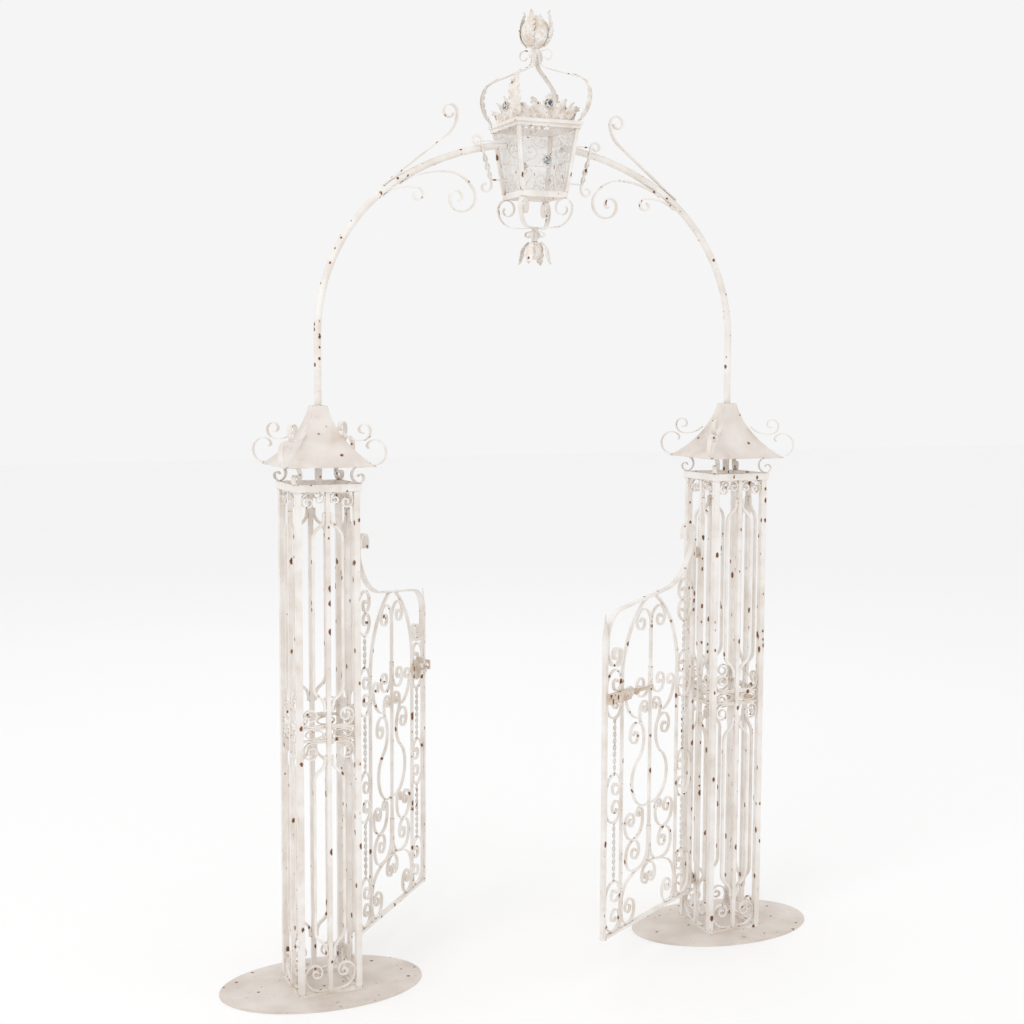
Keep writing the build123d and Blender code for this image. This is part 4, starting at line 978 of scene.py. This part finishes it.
@dataclass
class Rosette:
    """The lobed leaves round the bolt's keeper on the left leaf's latch stile."""

    leaf: Acanthus = field(default_factory=lambda: Acanthus(11 * MM, lobes=2, depth=0.3, foot=0.5, cup=0.3))
    leaves: int = 6
    hub: float = 11 * MM
    reach: float = 36 * MM
    lift: float = 2.5 * MM

    def build(self) -> None:
        """Builds the leaves on the front face of the keeper's plate."""
        low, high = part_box("bolt_keeper")
        centre = (low + high) / 2
        pivot = frame["record"]["behaviour"]["joints"][0]["pos_m"]
        across = Vector((centre.x - pivot[0], centre.y - pivot[1], 0)).normalized()
        facing = Vector((across.y, -across.x, 0))
        points = points_of("bolt_keeper") - np.array(centre)
        face = float((points @ np.array(facing)).max())
        built = bmesh.new()
        for index in range(self.leaves):
            turn = math.tau * (index + 0.5) / self.leaves
            out = across * math.cos(turn) + Vector((0, 0, math.sin(turn)))
            side = facing.cross(out)
            spine = [centre + facing * (face + self.lift * (1 - share ** 2))
                     + out * (self.hub + (self.reach - self.hub) * share)
                     for share in (step / 8 for step in range(9))]
            self.leaf.add_to(built, spine, side)
        finish("keeper_rosette", built, "left_leaf", Coat.FOLIAGE)


@dataclass
class LeafBars:
    """The twisted bars of one leaf, between the C scrolls of its side columns."""

    side: str
    wide: float = 9 * MM
    thick: float = 3 * MM
    turn_every: float = 46 * MM

    def build(self, tree: bpy.types.NodeTree) -> None:
        """Builds the bars as one piece that stands for the plain ones."""
        node = f"{self.side}_twisted_bars"
        lines = []
        for solid in islands_of(node):
            low, high = span(np.array([vertex.co for vertex in solid.verts]))
            solid.free()
            middle = (low + high) / 2
            lines.append([Vector((middle.x, middle.y, z)) for z in (low.z, middle.z, high.z)])
        bars = lines_object(f"{self.side}_turned_bars", lines)
        Trees.run(bars, tree, {"Wide": self.wide, "Thick": self.thick, "Step": 2 * MM,
                               "Turns per metre": 1 / self.turn_every, "Swell": 0.3,
                               "Material": material_of(Coat.SCROLL)})
        hand_over(bars, f"{self.side}_leaf", Coat.SCROLL, [node])


@dataclass
class Welds:
    """Small beads where the solids of one body touch."""

    body: str
    nodes: Sequence[str]
    radius: float = 2.1 * MM
    touch: float = 0.8 * MM
    apart: float = 7 * MM

    def build(self, tree: bpy.types.NodeTree) -> None:
        """Finds where the solids touch and sets a bead there."""
        solids = [solid for node in self.nodes for solid in islands_of(node)]
        boxes = [span(np.array([vertex.co for vertex in solid.verts])) for solid in solids]
        shells = [BVHTree.FromBMesh(solid) for solid in solids]
        spots: list[Vector] = []
        for one in range(len(solids)):
            for other in range(one + 1, len(solids)):
                if self._clear(boxes[one], boxes[other]):
                    continue
                for first, second in ((one, other), (other, one)):
                    self._touching(solids[first], shells[second], boxes[second], spots)
        for solid in solids:
            solid.free()
        beads = bmesh.new()
        for spot in spots:
            beads.verts.new(spot)
        item = new_object(f"{self.body}_welds", mesh_from("welds", beads))
        Trees.run(item, tree, {"Radius": self.radius, "Seed": 5, "Material": material_of(Coat.BEAD)})
        hand_over(item, self.body, Coat.BEAD)

    def _clear(self, one: tuple[Vector, Vector], other: tuple[Vector, Vector]) -> bool:
        """Whether two boxes stand apart by more than the touch distance."""
        return any(one[1][k] + self.touch < other[0][k] or other[1][k] + self.touch < one[0][k]
                   for k in range(3))

    def _touching(self, solid: bmesh.types.BMesh, shell: BVHTree, box: tuple[Vector, Vector],
                  spots: list[Vector]) -> None:
        """Adds the corners of a solid that lie on another one, unless a bead is near."""
        low, high = box
        for vertex in solid.verts:
            place = vertex.co
            if any(place[k] < low[k] - self.touch or place[k] > high[k] + self.touch for k in range(3)):
                continue
            if shell.find_nearest(place, self.touch)[0] is None:
                continue
            if all((place - spot).length > self.apart for spot in spots):
                spots.append(place.copy())


# ---------------------------------------------------------------- dressing of frame nodes
# The first row whose part is in the node's name counts.
COATS_BY_NAME = (
    ("crystals", Coat.CRYSTAL),
    ("base_plate", Coat.PLATE),
    ("roof_scrolls", Coat.SCROLL),
    ("roof", Coat.ROOF),
    ("bottom_frame", Coat.FRAME),
    ("mid_band", Coat.FRAME),
    ("arch_tubes", Coat.TUBE),
    ("lugs", Coat.WORN),
    ("eyes", Coat.WORN),
    ("bolt", Coat.WORN),
    ("keeper", Coat.WORN),
    ("scrolls", Coat.SCROLL),
    ("arms", Coat.SCROLL),
    ("hoops", Coat.SCROLL),
    ("leaves", Coat.FOLIAGE),
    ("bud", Coat.FOLIAGE),
    ("lantern_hangers", Coat.SCROLL),
    ("", Coat.BAR),
)


# Nodes that get no weld beads: sheet, moving fits and pieces that are made anew.
UNWELDED = ("crystals", "crown_leaves", "finial_leaves", "finial_bud", "pendant_bud", "lantern_panels",
            "left_hinge_lugs", "right_hinge_lugs", "left_hinge_eyes", "right_hinge_eyes",
            "left_base_plate", "right_base_plate", "bolt_case", "bolt_keeper")


def dress_frame() -> None:
    """Gives every frame node the finish that its name calls for."""
    for name, item in frame["nodes"].items():
        coat = next(coat for part, coat in COATS_BY_NAME if part in name)
        item.data.materials.clear()
        item.data.materials.append(material_of(coat))


# ---------------------------------------------------------------- studio
@dataclass
class Studio:
    """A pale floor, soft lights, and the camera that looks across the gateway."""

    eye: tuple[float, float, float] = (-2.2363, -4.9896, 2.0625)
    yaw: float = 0.40786
    pitch: float = -0.08998
    roll: float = 0.00377
    lens: float = 55.643
    floor_size: float = 60.0
    floor_gap: float = 0.2 * MM
    lamp_size: float = 4.0
    surround: float = 0.93
    lamps: tuple = (("key", (-5.0, -4.0, 6.0), 95.0), ("fill", (5.5, -4.0, 4.0), 14.0),
                    ("back", (1.0, 6.0, 6.5), 26.0))

    def build(self) -> None:
        """Builds the floor, the world, the lights and the camera."""
        self._floor()
        self._world()
        for name, place, power in self.lamps:
            self._light(name, place, power)
        self._camera()
        bpy.context.scene.view_settings.view_transform = "Standard"

    def _floor(self) -> None:
        """A large matt floor just under the plates."""
        built = bmesh.new()
        bmesh.ops.create_grid(built, x_segments=1, y_segments=1, size=self.floor_size / 2)
        bmesh.ops.translate(built, verts=built.verts, vec=(0, 0, -self.floor_gap))
        floor = new_object("studio_floor", mesh_from("studio_floor", built, smooth=False))
        paint = bpy.data.materials.new("matt_floor")
        paint.use_nodes = True
        shader = paint.node_tree.nodes["Principled BSDF"]
        shader.inputs["Base Color"].default_value = to_linear("#FDFDFD")
        shader.inputs["Roughness"].default_value = 0.9
        floor.data.materials.append(paint)

    def _world(self) -> None:
        """An even, nearly white surround."""
        world = bpy.data.worlds.new("studio")
        bpy.context.scene.world = world
        world.use_nodes = True
        back = world.node_tree.nodes["Background"]
        back.inputs["Color"].default_value = to_linear("#FDFDFD")
        back.inputs["Strength"].default_value = self.surround

    def _light(self, name: str, place: tuple, power: float) -> None:
        """One square soft light that faces the middle of the gateway."""
        lamp = bpy.data.lights.new(name, "AREA")
        lamp.size = self.lamp_size
        lamp.energy = power
        item = bpy.data.objects.new(name, lamp)
        item.location = place
        item.rotation_euler = (Vector((0, 0, 1.5)) - Vector(place)).to_track_quat("-Z", "Y").to_euler()
        bpy.context.scene.collection.objects.link(item)

    def _camera(self) -> None:
        """The camera, from its place, its heading and its lens."""
        level_share = math.cos(self.pitch)
        ahead = Vector((math.sin(self.yaw) * level_share, math.cos(self.yaw) * level_share,
                        math.sin(self.pitch)))
        right = Vector((math.cos(self.yaw), -math.sin(self.yaw), 0.0))
        above = right.cross(ahead)
        turned = right * math.cos(self.roll) + above * math.sin(self.roll)
        level = above * math.cos(self.roll) - right * math.sin(self.roll)
        data = bpy.data.cameras.new("camera")
        data.sensor_width = 36.0
        data.lens = self.lens
        item = bpy.data.objects.new("camera", data)
        matrix = Matrix((turned, level, -ahead)).transposed().to_4x4()
        matrix.translation = Vector(self.eye)
        item.matrix_world = matrix
        bpy.context.scene.collection.objects.link(item)
        bpy.context.scene.camera = item


def main() -> None:
    """Builds the gateway's looks in order."""
    logging.basicConfig(level=logging.INFO, format="%(name)s %(message)s")
    Studio().build()
    dress_frame()
    Crown().build()
    Finial().build()
    Pendant().build()
    Lantern().build()
    Crystals().build()
    Hangers().build()
    Rosette().build()
    twist = Trees.bar_along_lines()
    beads = Trees.beads_on_points()
    for side in ("left", "right"):
        LeafBars(side).build(twist)
    bodies = frame["record"]["behaviour"]["bodies"]
    for body in ("frame", "left_leaf", "right_leaf"):
        Welds(body, [node for node in bodies[body] if node not in UNWELDED]).build(beads)


if __name__ == "__main__":
    main()
